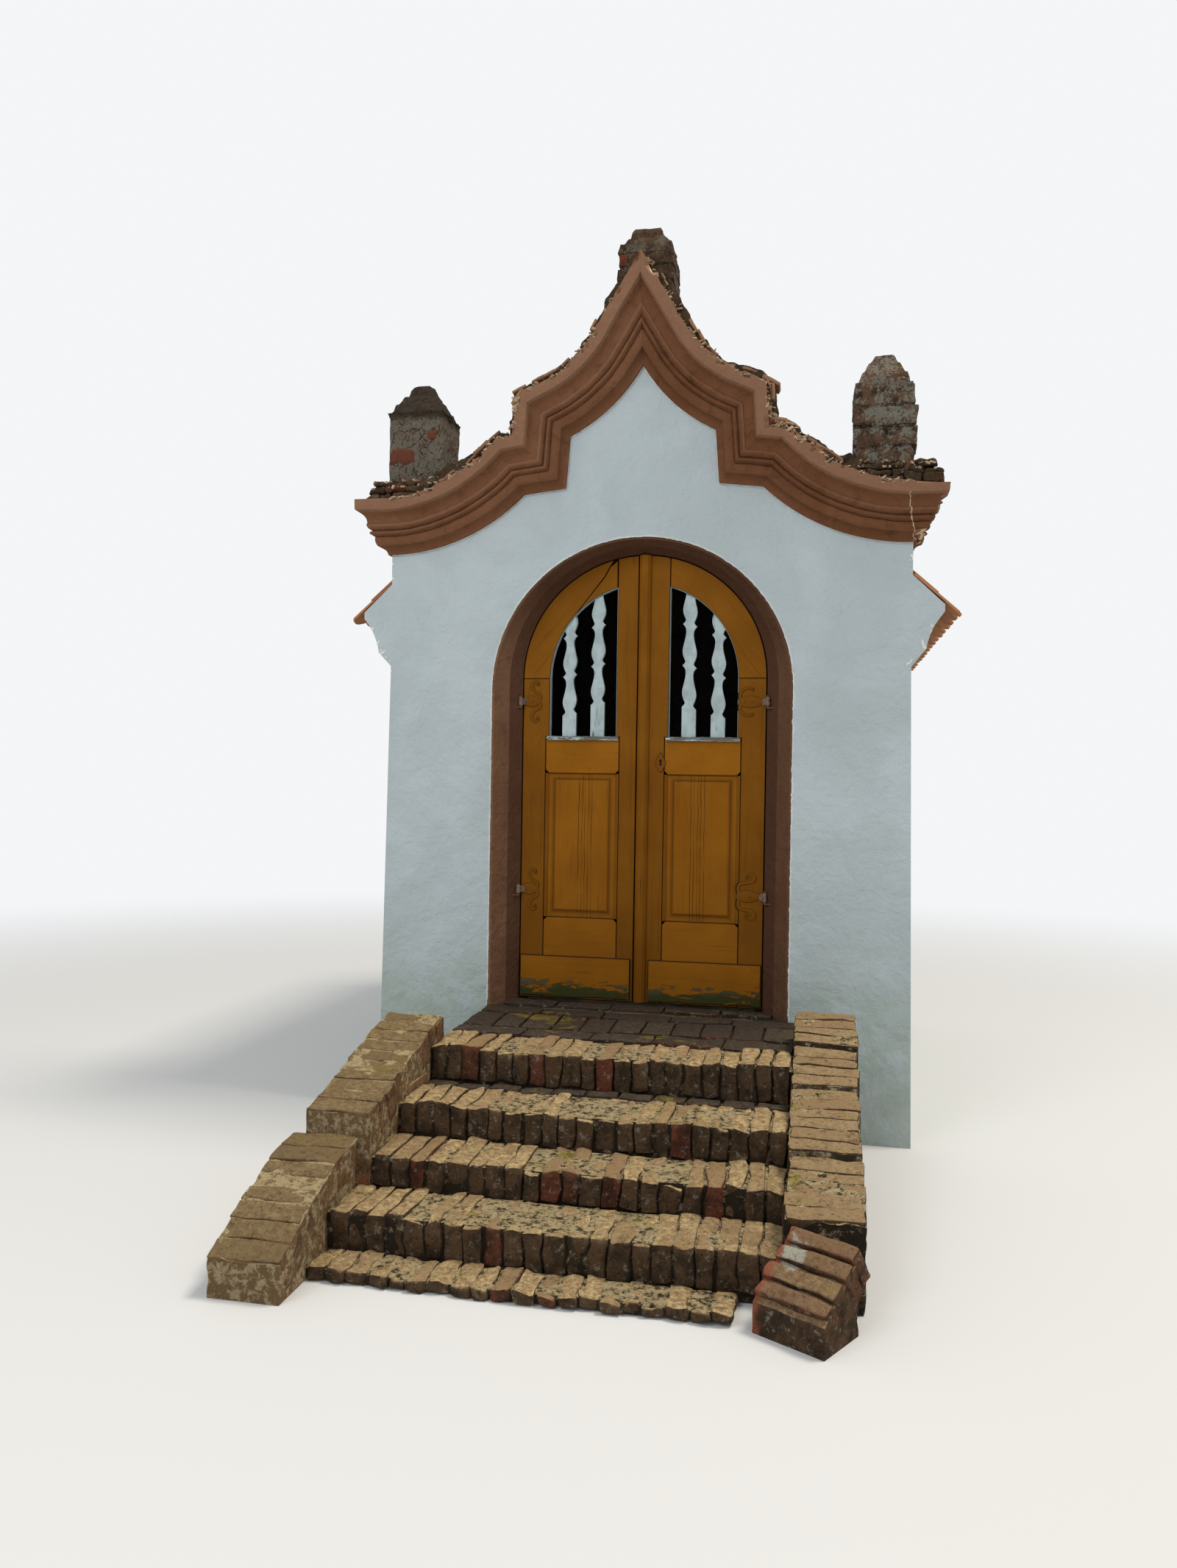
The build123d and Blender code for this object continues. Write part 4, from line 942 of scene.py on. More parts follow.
def slabs(tops: Array, drop: Array, shade: Array) -> Surface:
    """Thin plates, each from a grid of points on its top and a vector to its underside.

    The rim points of the top grid and of the dropped grid, walked once round, are joined by a band of quads.

    Args:
        tops: Grids of points, shape (plates, rows, columns, 3).
        drop: From top to underside, shape (3,).
        shade: One shade per plate.

    Returns:
        All plates, closed, as one surface.
    """
    plates, rows, columns = tops.shape[:3]
    count = rows * columns
    points = np.stack([tops, tops + drop], axis=1).reshape(plates, 2 * count, 3)
    top = grid_faces(rows, columns)
    number = np.arange(count).reshape(rows, columns)
    rim = np.concatenate([number[0, :-1], number[:-1, -1], number[-1, :0:-1], number[:0:-1, 0]])
    ahead = np.roll(rim, -1)
    band = np.stack([rim, ahead, ahead + count, rim + count], axis=-1)
    return Surface.copies(points, np.concatenate([top, top[:, ::-1] + count, band]), shade)


def inset(outline: Array, distance: float) -> Array:
    """A closed outline moved in by a distance, each corner along its bisector so that its sides stay parallel.

    Args:
        outline: Corner points in order, shape (n, 2).
        distance: How far each side moves in.

    Returns:
        The new corner points.
    """
    ahead = np.roll(outline, -1, axis=0) - outline
    ahead /= np.linalg.norm(ahead, axis=1, keepdims=True)
    following = np.roll(outline, -1, axis=0)
    side = np.sign(np.sum(outline[:, 0] * following[:, 1] - following[:, 0] * outline[:, 1]))
    normal = side * np.stack([-ahead[:, 1], ahead[:, 0]], axis=1)
    bisector = normal + np.roll(normal, 1, axis=0)
    return outline + distance * bisector / np.maximum(np.sum(bisector * normal, axis=1, keepdims=True), 0.35)


def ringed(outline: Array, levels: Pairs, shades: tuple[float, ...]) -> Surface:
    """A closed solid through insets of one outline.

    Args:
        outline: Corner points (x, z) in order, shape (n, 2).
        levels: For each ring, how far it lies in from the outline, and its depth y.
        shades: A shade per ring.

    Returns:
        The solid.
    """
    return tube(np.stack([upright(inset(outline, d), y) for d, y in levels]), np.repeat(shades, len(outline)))


def board(outline: Array, front: float, back: float, bevel: float = 0.0015) -> Surface:
    """A board cut to an outline in the X-Z plane, with a small bevel round its front face and dark edges: grime in the
    joints and painted shade of the gaps between boards.

    Args:
        outline: Corner points (x, z) in order, shape (n, 2).
        front: Y of its front face.
        back: Y of its back face.
        bevel: Width of the bevel.

    Returns:
        The closed board.
    """
    seam = bevel + 0.0022
    levels = ((seam, back), (0.0, back), (0.0, front + bevel), (bevel, front), (seam, front))
    # Shade 0 at the outline rings darkens every edge as grime and painted shade of the gaps; 0.38 on the back's seam.
    return ringed(np.asarray(outline, float), levels, (0.38, 0.0, 0.0, 0.22, 0.5))


def arc(centre: tuple[float, float], radius: float, start: float, end: float, count: int) -> Array:
    """Points (x, z) on a circle between two angles in radians, counted from +X towards +Z."""
    turn = np.linspace(start, end, count)
    return np.stack([centre[0] + radius * np.cos(turn), centre[1] + radius * np.sin(turn)], axis=1)


@dataclass
class GableLine:
    """The inner line of the run moulding from the apex to the end, and every line offset from it."""

    apex: tuple[float, float] = (0.0, 3.797)
    shoulder: tuple[float, float] = (0.365, 3.462)
    notch: tuple[float, float] = (0.385, 3.200)
    knee: tuple[float, float] = (0.600, 3.175)
    end: tuple[float, float] = (1.310, 2.887)
    sag: float = 0.037

    def __post_init__(self) -> None:
        """Works out both arcs' radii and centres and the fall of the line at each corner."""
        run, rise = self.shoulder[0], self.apex[1] - self.shoulder[1]
        chord, slope = hypot(run, rise), atan2(rise, run)
        half = 2 * atan2(2 * self.sag, chord)
        self.upper_radius = (chord / 2) ** 2 / (2 * self.sag) + self.sag / 2
        self.apex_fall, self.shoulder_fall = slope + half, slope - half
        self.upper_centre = np.array(self.apex) + self.upper_radius * self.outward(self.apex_fall)
        across, drop = self.end[0] - self.knee[0], self.knee[1] - self.end[1]
        self.lower_radius = (across**2 + drop**2) / (2 * drop)
        self.lower_centre = np.array([self.end[0], self.end[1] + self.lower_radius])
        self.knee_fall = atan2(across, self.lower_radius - drop)
        self.drop_fall = atan2(self.shoulder[1] - self.notch[1], self.notch[0] - self.shoulder[0])
        self.level_fall = atan2(self.notch[1] - self.knee[1], self.knee[0] - self.notch[0])

    @staticmethod
    def outward(fall: float) -> Array:
        """Unit vector (x, z) square to the line, up and away from the wall."""
        return np.array([sin(fall), cos(fall)])

    def corner(self, point: tuple[float, float], before: float, after: float, offsets: Array) -> Array:
        """Where two offset sides meet: the offset along the normal plus its run to the mitre."""
        heading = np.array([cos(before), -sin(before)])
        return np.array(point) + offsets[:, None] * (self.outward(before) + heading * tan((after - before) / 2))

    def stations(self, offsets: tuple[float, ...] | Array, fine: int = 1) -> Array:
        """Points along the offset lines, at matching stations.

        Straight stretches run evenly between their corners; arcs run by equal angles about their own centres,
        the radius less the offset.

        Args:
            offsets: Distances from the inner line, shape (j,).
            fine: How many times finer than the least the stations lie.

        Returns:
            Points (x, z), shape (stations, j, 2), from the apex to the end on the right.
        """
        offsets = np.asarray(offsets, float)

        def on_arc(centre: Array, radius: float, start: float, end: float, count: int) -> Array:
            """Points of every offset of one arc between two falls.

            Args:
                centre: Centre of the arc (x, z).
                radius: Radius of the inner line.
                start: Fall at its start in radians.
                end: Fall at its end.
                count: Number of points before they are made finer.

            Returns:
                Points, shape (stations, j, 2).
            """
            falls = np.linspace(start, end, count * fine)
            out = np.stack([np.sin(falls), np.cos(falls)], axis=-1)
            return centre + (offsets[None, :, None] - radius) * out[:, None, :]

        def straight(a: Array, b: Array, count: int) -> Array:
            """Even points from a towards b, without b."""
            t = np.linspace(0, 1, count * fine, endpoint=False)[:, None, None]
            return a[None] * (1 - t) + b[None] * t

        peak = np.stack([np.zeros(len(offsets)), self.apex[1] + offsets / cos(self.apex_fall)], axis=1)
        upper = on_arc(self.upper_centre, self.upper_radius, self.apex_fall, self.shoulder_fall, 30)
        lower = on_arc(self.lower_centre, self.lower_radius, self.knee_fall, 0.0, 44)
        shoulder = self.corner(self.shoulder, self.shoulder_fall, self.drop_fall, offsets)
        notch = self.corner(self.notch, self.drop_fall, self.level_fall, offsets)
        knee = self.corner(self.knee, self.level_fall, self.knee_fall, offsets)
        return np.concatenate([straight(peak, upper[0], 12), upper[:-1], straight(upper[-1], shoulder, 9),
                               straight(shoulder, notch, 16), straight(notch, knee, 13), straight(knee, lower[0], 6),
                               lower])


@dataclass
class RunMoulding:
    """The gable's run moulding: its section carried along the gable line, mitred, and returned at the end.

    A member is its end across and out, as shares of width and projection, its bulge, and its number of points. Hand
    is how far the surface wanders, coarse and fine; chip is how far a chip cuts in and down; broken is how far the
    broken end stands back and stops short.
    """

    line: GableLine = field(default_factory=GableLine)
    width: float = 0.26
    projection: float = 0.15
    parapet: float = 0.30
    hand: tuple[float, float] = (0.0030, 0.0016)
    chip: tuple[float, float] = (0.020, 0.014)
    broken: tuple[float, float] = (0.030, 0.040)
    members: tuple[tuple[float, float, float, int], ...] = (
        (0.0, 0.0, 0.0, 1), (0.0, 0.11, 0.0, 2), (0.14, 0.33, -0.16, 6), (0.15, 0.395, 0.0, 2), (0.31, 0.455, 0.10, 5),
        (0.325, 0.425, 0.0, 1), (0.345, 0.545, 0.0, 2), (0.415, 0.555, 0.45, 6), (0.43, 0.515, 0.0, 1),
        (0.54, 0.69, 0.17, 6), (0.555, 0.665, 0.0, 1), (0.75, 0.865, -0.16, 7), (0.79, 0.985, 0.0, 2),
        (1.0, 1.0, 0.012, 7))

    def section(self) -> tuple[Array, Array]:
        """Points of the section from the wall at the inner line over the top edge and back to the wall.

        Each member runs from the last point to its own by a parabola, 4 b t (1 - t) off the straight line.

        Returns:
            Offsets from the inner line and heights off the wall, in metres.
        """
        scale = np.array([self.width, self.projection])
        points = [np.array(self.members[0][:2]) * scale]
        for u, v, bulge, count in self.members[1:]:
            start, run = points[-1], np.array([u, v]) * scale - points[-1]
            t = np.linspace(0, 1, count + 1)[1:, None]
            points += list(start + t * run + 4 * bulge * t * (1 - t) * np.array([-run[1], run[0]]))
        u, v = np.array(points + [(self.width, 0.0)]).T
        return u, v

    def build(self, side: int, seed: int, band: float) -> Surface:
        """One half of the moulding, as a grid of stations by section points, hand-run and chipped.

        Args:
            side: 1 for the right half, -1 for the left.
            seed: Which noise to use.
            band: How much darker its lowest band is, as painted shade.

        Returns:
            The closed half with its returned end; its shade is low in hollows and on the lowest band (painted shade), a
            little high on ridges and the fascia (painted highlight with wear), and high where paint is lost.
        """
        u, v = self.section()
        flat = self.line.stations(u, 3)
        corner = points_of(self.line.end[0] + v, -v, self.line.end[1] + u)
        back = corner * np.array([1.0, 0.0, 1.0]) + np.array([0.0, self.parapet, 0.0])
        t = np.linspace(0, 1, 13)[1:, None, None]
        grid = np.concatenate([upright(flat, -v), corner[None], corner[None] * (1 - t) + back[None] * t])
        noise = rough_noise(grid, 0.16, seed) * self.hand[0] + rough_noise(grid, 0.05, seed + 5) * self.hand[1]
        lift = noise[..., None] * np.array([0.0, -1.0, 0.6]) * smooth_step(v, 0.0, 0.02)[None, :, None]
        # around is the section smoothed: points below it are hollows, which get painted shade; points above it are
        # ridges, which get painted highlight with wear.
        window = np.hanning(25)
        around = np.convolve(np.pad(v, 12, mode="edge"), window / window.sum(), mode="valid")
        hollow = smooth_step(around - v, 0.0005, 0.0045) * smooth_step(v, 0.0, 0.004)
        ridge = smooth_step(v - around, 0.0010, 0.0050) * smooth_step(v, 0.03, 0.05)
        share = u / self.width
        # Paler on the fascia and ridges (painted highlight with wear), darker on the lowest members by band (painted
        # shade).
        proud = smooth_step(share, 0.77, 0.80) * 0.03 + 0.16 * ridge - smooth_step(share, 0.62, 0.10) * band
        edge = smooth_step(share, 0.90, 1.0) * smooth_step(v / self.projection, 0.5, 1.0)
        chip = smooth_step(rough_noise(grid * np.array([1.0, 0.4, 1.0]), 0.050, seed + 9), 0.12, 0.62) * edge[None]
        end = smooth_step(grid[..., 0], self.line.end[0] - 0.01, self.line.end[0] + 0.05)
        ragged = rough_noise(grid, 0.075, seed + 21, 4)
        broken = smooth_step(ragged, -0.35, 0.35) * end * smooth_step(v, 0.008, 0.03)[None] * (side > 0)
        moved = grid + lift
        moved[..., 1] += self.chip[0] * chip + self.broken[0] * broken * (grid[..., 1] < 0.0)
        moved[..., 2] -= self.chip[1] * chip
        moved[..., 0] -= self.broken[1] * broken
        moved[..., 0] *= side
        rim = smooth_step(broken, 0.12, 0.35) * smooth_step(broken, 0.95, 0.60)
        # Painted shade in hollows lowers the shade; chips and the broken rim raise it to bare plaster.
        shade = np.maximum(0.5 + proud[None] - 0.58 * hollow[None], 0.5 + 0.6 * np.maximum(0.7 * chip, rim))
        return tube(moved, np.clip(shade, 0, 1))


@dataclass
class LimeLip:
    """The crumbled lip of limewash along a painted edge: a narrow ribbon whose width wanders."""

    depth: float
    width: float = 0.007

    def along(self, inner: Array, outer: Array, seed: int) -> Surface:
        """A lip on the wall's face between two matching lines of points (x, z).

        Its cross-section is a low hump: four points across, the middle two raised off the wall.

        Args:
            inner: Points on the painted side, shape (n, 2).
            outer: Points one unit of width away on the wall's side, shape (n, 2).
            seed: Which noise to use.

        Returns:
            The lip as one closed ribbon.
        """
        base, across = upright(inner, 0.0), upright(outer - inner, 0.0)
        across /= np.linalg.norm(across, axis=1, keepdims=True)
        wander = rough_noise(base, 0.030, seed, 3)[:, None]
        bite = rough_noise(base, 0.011, seed + 3, 2)[:, None]
        start = base - across * (0.0015 + 0.0035 * np.maximum(bite, 0))
        width = across * self.width * (1.0 + 0.7 * wander)
        rise = np.array([0.0, -self.depth, 0.0]) * (0.75 + 0.35 * bite)
        sunk = np.array([0.0, 0.002, 0.0])
        ring = [start + sunk, start + rise * 0.9, start + width * 0.45 + rise, start + width, start + width + sunk]
        return tube(np.stack(ring, axis=1))


@dataclass
class Doorway:
    """The splayed doorway: where its painted edge runs on the front wall."""

    radius: float = 0.760
    spring: float = 2.189
    foot: float = 0.570

    def edge(self, grow: float) -> Array:
        """The edge up the right side, over the arch and down the left, moved out by grow.

        Args:
            grow: How far outside the painted edge, in metres.

        Returns:
            Points (x, z), shape (n, 2).
        """
        r, rise = self.radius + grow, np.linspace(self.foot, self.spring, 170, endpoint=False)
        right = np.stack([np.full(170, r), rise], axis=1)
        return np.concatenate([right, arc((0.0, self.spring), r, 0.0, pi, 260), right[::-1] * np.array([-1.0, 1.0])])


@dataclass
class BrickRow:
    """One row of bricks on edge across the stair, with the mortar bed that it stands in."""

    x0: float
    x1: float
    front: float
    depth: float
    top: float
    foot: float
    sag: float = 0.0
    free_right: bool = False
    pitch: float = 0.073
    round_off: float = 0.010
    wear: float = 0.009
    bed_behind: float = 0.019
    bed_under: float = 0.0062

    def bricks(self, rng: Random, seed: int) -> Surface:
        """Bricks side by side from x0 to x1, each a little high or low, forward or back, and leaning.

        Args:
            rng: Source of the small differences.
            seed: Which noise wears them.

        Returns:
            The row's bricks.
        """
        count = max(2, round((self.x1 - self.x0) / self.pitch))
        middle, length = joints(self.x0, self.x1, count, rng, 0.0035)
        gap = rng.uniform(0.003, 0.011, count)
        dip = self.sag * np.sin(pi * (middle - self.x0) / (self.x1 - self.x0)) ** 2
        top = self.top - dip - np.abs(rng.normal(0, 0.0055, count))
        front = self.front + rng.normal(0.004, 0.0070, count).clip(-0.003, 0.018)
        height = top - max(self.foot - 0.012, GROUND_BRICK_Z)
        turns = turned(rng.normal(0, 0.016, count), 2) @ turned(rng.normal(0, 0.010, count), 1)
        shades = rng.choice([0.15, 0.35, 0.5, 0.78, 1.0], count, p=[0.36, 0.30, 0.20, 0.10, 0.04])
        return BRICK.laid(points_of(middle, front + self.depth / 2, top - height / 2),
                          points_of(length - gap, self.depth, height), shades, turns, self.round_off, self.wear,
                          seed)

    def bed(self, seed: int) -> Surface:
        """The mortar between and behind the bricks: one rough block, almost level with their tops.

        Args:
            seed: Which noise wears it.

        Returns:
            The bed.
        """
        right = self.x1 - 0.004 if self.free_right else self.x1 + 0.010
        low = np.array([self.x0 - 0.010, self.front + self.bed_behind, 0.006])
        high = np.array([right, self.front + self.depth, self.top - self.bed_under - self.sag * 0.8])
        return FINE.filled(low, high, 0.010, 0.003, seed)


@dataclass
class Stair:
    """Four brick steps, the landing's edge row and its paving, over mortar beds."""

    left: float = -0.76
    lower_left: float = -0.81
    right: float = 0.80
    landing_top: float = 0.570
    landing_depth: float = 0.870
    treads: tuple[float, ...] = (0.380, 0.280, 0.280, 0.170)
    risers: tuple[float, ...] = (0.145, 0.125, 0.115, 0.135)
    sags: tuple[float, ...] = (0.010, 0.012, 0.006, 0.0)
    brick: float = 0.290
    flat_height: float = 0.065
    flat_joint: float = 0.010
    fill_middle: float = 0.037
    fill_count: int = 11
    core_under: float = 0.022
    seed: int = 411

    def rows(self) -> list[tuple[str, BrickRow]]:
        """The rows on edge, each with the name of the solid that it stands for.

        Returns:
            Pairs of a solid's name and its row, from the landing down.
        """
        top, front = self.landing_top, -self.landing_depth
        rows = [("landing_edge", BrickRow(self.left, self.right, front, self.brick, top, top - self.risers[0], 0.016))]
        for number, (tread, riser, sag) in enumerate(zip(self.treads, self.risers, self.sags), start=1):
            top -= riser
            last = number == len(self.risers)
            low = 0.0 if last else max(top - self.risers[number], 0.0)
            rows.append((f"step_{number}", BrickRow(self.lower_left if number >= 3 else self.left,
                                                    self.right - 0.15 if last else self.right, front - tread,
                                                    min(tread, self.brick), top, low, sag, last)))
            front -= tread
        return rows

    def flat(self, spans: tuple[Array, Array], y0: float, y1: float, top: float, gap: float,
             rng: Random) -> tuple[Array, Array]:
        """Centres and sizes of a strip of bricks laid flat, each a little low.

        Args:
            spans: Middles and lengths of the bricks along X.
            y0: Front of the strip.
            y1: Back of the strip.
            top: Height of their tops.
            gap: Width of the joint along the strip.
            rng: Source of the small differences.

        Returns:
            Both arrays, shape (n, 3).
        """
        middle, length = spans
        z = top - np.abs(rng.normal(0, 0.003, len(middle)))
        return points_of(middle, (y0 + y1) / 2, z), points_of(length - self.flat_joint, y1 - y0 - gap, self.flat_height)

    def paving(self, rng: Random) -> Surface:
        """Bricks laid flat between the doors and the edge row: stretchers, headers, then stretchers.

        Args:
            rng: Source of the small differences.

        Returns:
            The landing's bricks.
        """
        wide = (self.left, self.right)
        strips = ((0.004, 0.124, 0.30, (-0.680, 0.680), 0.590), (-0.136, -0.004, 0.285, wide, 0.576),
                  (-0.425, -0.142, 0.142, wide, 0.571), (self.brick - self.landing_depth, -0.431, 0.285, wide, 0.568))
        parts = []
        for y0, y1, pitch, (x0, x1), top in strips:
            count = round((x1 - x0) / pitch)
            spans = joints(x0, x1, count, rng, 0.012 if pitch > 0.2 else 0.004)
            centre, size = self.flat(spans, y0, y1, top - self.flat_height / 2, 0.006, rng)
            shade = rng.uniform(0.1, 0.85, count)
            turns = turned(rng.normal(0, 0.012, count), 2) @ turned(rng.normal(0, 0.008, count), 0)
            parts.append(BRICK.laid(centre, size, shade, turns, 0.006, 0.004, 61))
        return Surface.joined(parts)

    def back_fill(self, rng: Random) -> Surface:
        """Half bricks that fill the first tread behind its row on edge.

        Args:
            rng: Source of the small differences.

        Returns:
            The tread's bricks.
        """
        y1 = -self.landing_depth
        centre, size = self.flat(joints(self.left, self.right, self.fill_count), y1 - self.treads[0] + self.brick, y1,
                                 self.landing_top - self.risers[0] - self.fill_middle, 0.008, rng)
        return BRICK.laid(centre, size, rng.uniform(0.1, 0.6, self.fill_count), None, 0.010, 0.004, 83)

    def build(self, brick: Material, mortar: Material, landing: Material, under: Material) -> None:
        """Makes the rows, beds, paving and fill, which stand for the landing and the steps.

        Args:
            brick: Finish of the rows on edge.
            mortar: Finish of their beds.
            landing: Finish of the paving.
            under: Finish of the paving's bed.
        """
        rng = np.random.default_rng(self.seed)
        for number, (name, row) in enumerate(self.rows()):
            finished(f"{name}_bed", row.bed(300 + number).kept_in(name), "stair_brick", mortar, (name,))
            laid = row.bricks(rng, 200 + 10 * number).kept_in(name)
            finished(f"{name}_bricks", laid, "stair_brick", brick, (name,))
        low, high = (np.array(corner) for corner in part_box("landing"))
        core = FINE.filled(low, high - np.array([0, 0, self.core_under]), 0.004, 0.002, 77)
        y1 = -self.landing_depth
        under_fill = self.landing_top - self.risers[0] - self.core_under
        fill = FINE.filled(np.array([self.left, y1 - self.treads[0] + self.brick, 0.0]),
                           np.array([self.right, y1, under_fill]), 0.004, 0.002, 78)
        for word, parts, material in (("bed", [core, fill], under),
                                      ("paving", [self.paving(rng), self.back_fill(rng)], landing)):
            finished(f"landing_{word}", Surface.joined(parts).kept_in("step_1"), "stair_brick", material, ("landing",))


@dataclass
class CheekWall:
    """A cheek wall beside the stair: a rough body under bricks on edge in sloping groups."""

    name: str
    x0: float
    x1: float
    back: float
    lengths: tuple[float, ...]
    backs: tuple[float, ...]
    fronts: tuple[float, ...]
    counts: tuple[int, ...]
    brick_height: float = 0.135
    joint: float = 0.004
    sunk_bed: float = 0.010
    turn: float = 0.0
    pivot: tuple[float, float] = (0.0, 0.0)
    course: float = 0.076
    brick: float = 0.292
    brick_depth: float = 0.05
    brick_rise: float = 0.064
    brick_in: float = 0.028
    brick_gap: float = 0.012
    skin: float = 0.006

    def groups(self) -> list[tuple[float, float, float, float, int]]:
        """Each group's back and front Y, its top at both, and its number of bricks."""
        ends = self.back - np.cumsum((0.0, *self.lengths))
        return list(zip(ends[:-1], ends[1:], self.backs, self.fronts, self.counts))

    def top_at(self, y: Array | float) -> Array:
        """Height of the top over each Y, by straight lines through the groups' ends."""
        ys = [y for y0, y1, *_ in self.groups() for y in (y0, y1 + 1e-6)]
        return np.interp(-np.asarray(y), -np.array(ys), [z for _, _, z0, z1, _ in self.groups() for z in (z0, z1)])

    def placed(self, surface: Surface) -> Surface:
        """The surface turned about the pivot, for a wall that doesn't stand square.

        Args:
            surface: A part of the wall, drawn square.

        Returns:
            The same part in its place.
        """
        if not self.turn:
            return surface
        pivot = np.array([*self.pivot, 0.0])
        spin = turned(np.array([radians(self.turn)]), 2)[0]
        return replace(surface, points=(surface.points - pivot) @ spin.T + pivot)

    def coping(self, rng: Random, seed: int) -> Surface:
        """The bricks on edge, square to the slope of their group.

        Args:
            rng: Source of the small differences.
            seed: Which noise wears them.

        Returns:
            The coping.
        """
        parts = []
        for y0, y1, z0, z1, count in self.groups():
            slope = atan2(z0 - z1, y0 - y1)
            mid, length = joints(0, 1, count, rng, 0.010)
            pitch = length * hypot(y0 - y1, z0 - z1)
            below = self.brick_height / 2 + (np.abs(rng.normal(0, 0.004, count)) + 0.001)
            x = (self.x0 + self.x1) / 2 + rng.normal(0, 0.004, count)
            centre = points_of(x, y0 + (y1 - y0) * mid + below * sin(slope), z0 + (z1 - z0) * mid - below * cos(slope))
            width = (self.x1 - self.x0) - rng.uniform(0.0, 0.014, count)
            size = points_of(width, pitch - self.joint, self.brick_height)
            lean, twist = slope + rng.normal(0, 0.02, count), rng.normal(0, 0.014, count)
            turns = turned(lean, 0) @ turned(twist, 2)
            parts.append(BRICK.laid(centre, size, rng.uniform(0.1, 0.7, count), turns, 0.007, 0.0055, seed))
        return self.placed(Surface.joined(parts))

    def body(self, seed: int) -> Surface:
        """The rough mass under the coping: rings up the left side, over the top and down the right, along Y.

        Args:
            seed: Which noise wears it.

        Returns:
            The closed mass.
        """
        y = np.concatenate([np.linspace(y0 - 0.004, y1 + 0.004, max(6, int((y0 - y1) / 0.03)))
                            for y0, y1, *_ in self.groups()])[:, None]
        top = self.top_at(y) - self.sunk_bed
        left = points_of(self.x0 + self.skin, y, top * np.linspace(0, 1, 16))
        width = self.x1 - self.x0 - 2 * self.skin
        over = points_of(self.x0 + self.skin + width * np.linspace(0, 1, 10)[1:-1], y, top)
        right = left[:, ::-1].copy()
        right[..., 0] = self.x1 - self.skin
        ring = np.concatenate([left, over, right], axis=1)
        return self.placed(tube(shaken(ring, 0.006 * smooth_step(ring[..., 2], 0.0, 0.05), 0.05, seed), 0.2))

    def courses(self, rng: Random, seed: int) -> Surface | None:
        """Brick courses in both sides and the front, each brick that fits under the coping standing a little proud.

        Args:
            rng: Source of the small differences.
            seed: Which noise wears them.

        Returns:
            The courses, or none where no brick fits.
        """
        centres, sizes = [], []
        front = self.back - sum(self.lengths)
        for level in range(int(max(self.backs) / self.course)):
            z = self.course * (level + 0.5)
            over = z + self.course / 2
            for start in np.arange(self.back + self.brick / 2 * (level % 2), front + 0.02, -self.brick):
                y1, y0 = max(start - self.brick, front), min(start, self.back)
                if y0 - y1 >= 0.07 and float(self.top_at(y1)) >= over + 0.10:
                    centres += [(x, (y0 + y1) / 2, z) for x in (self.x0 + self.brick_in, self.x1 - self.brick_in)]
                    sizes += [(self.brick_depth, y0 - y1 - self.brick_gap, self.brick_rise)] * 2
            if self.top_at(front) > over + 0.09:
                centres.append(((self.x0 + self.x1) / 2, front + self.brick_in, z))
                sizes.append((self.x1 - self.x0 - self.brick_gap, self.brick_depth, self.brick_rise))
        if not centres:
            return None
        moved = np.array(centres) + rng.normal(0, 0.002, (len(centres), 3))
        shade = rng.choice([0.1, 0.3, 0.5, 0.8, 1.0], len(centres), p=[0.3, 0.3, 0.2, 0.12, 0.08])
        return self.placed(PLAIN.laid(moved, sizes, shade, None, 0.008, 0.004, seed))

    def build(self, brick: Material, mortar: Material, seed: int, side: Material | None = None) -> None:
        """Makes the body, the side courses and the coping, which stand for the wall's solid.

        Args:
            brick: Finish of the coping.
            mortar: Finish of the body.
            seed: Starts the random draws and picks the noise.
            side: Finish of the side courses, where it is another.
        """
        rng = np.random.default_rng(seed)
        pieces = {"body": (self.body(seed), mortar), "coping": (self.coping(rng, seed + 1), brick),
                  "courses": (self.courses(rng, seed + 2), side or brick)}
        for word, (surface, material) in pieces.items():
            if surface:
                finished(f"{self.name}_{word}", surface.kept_in(self.name), "stair_brick", material, (self.name,))


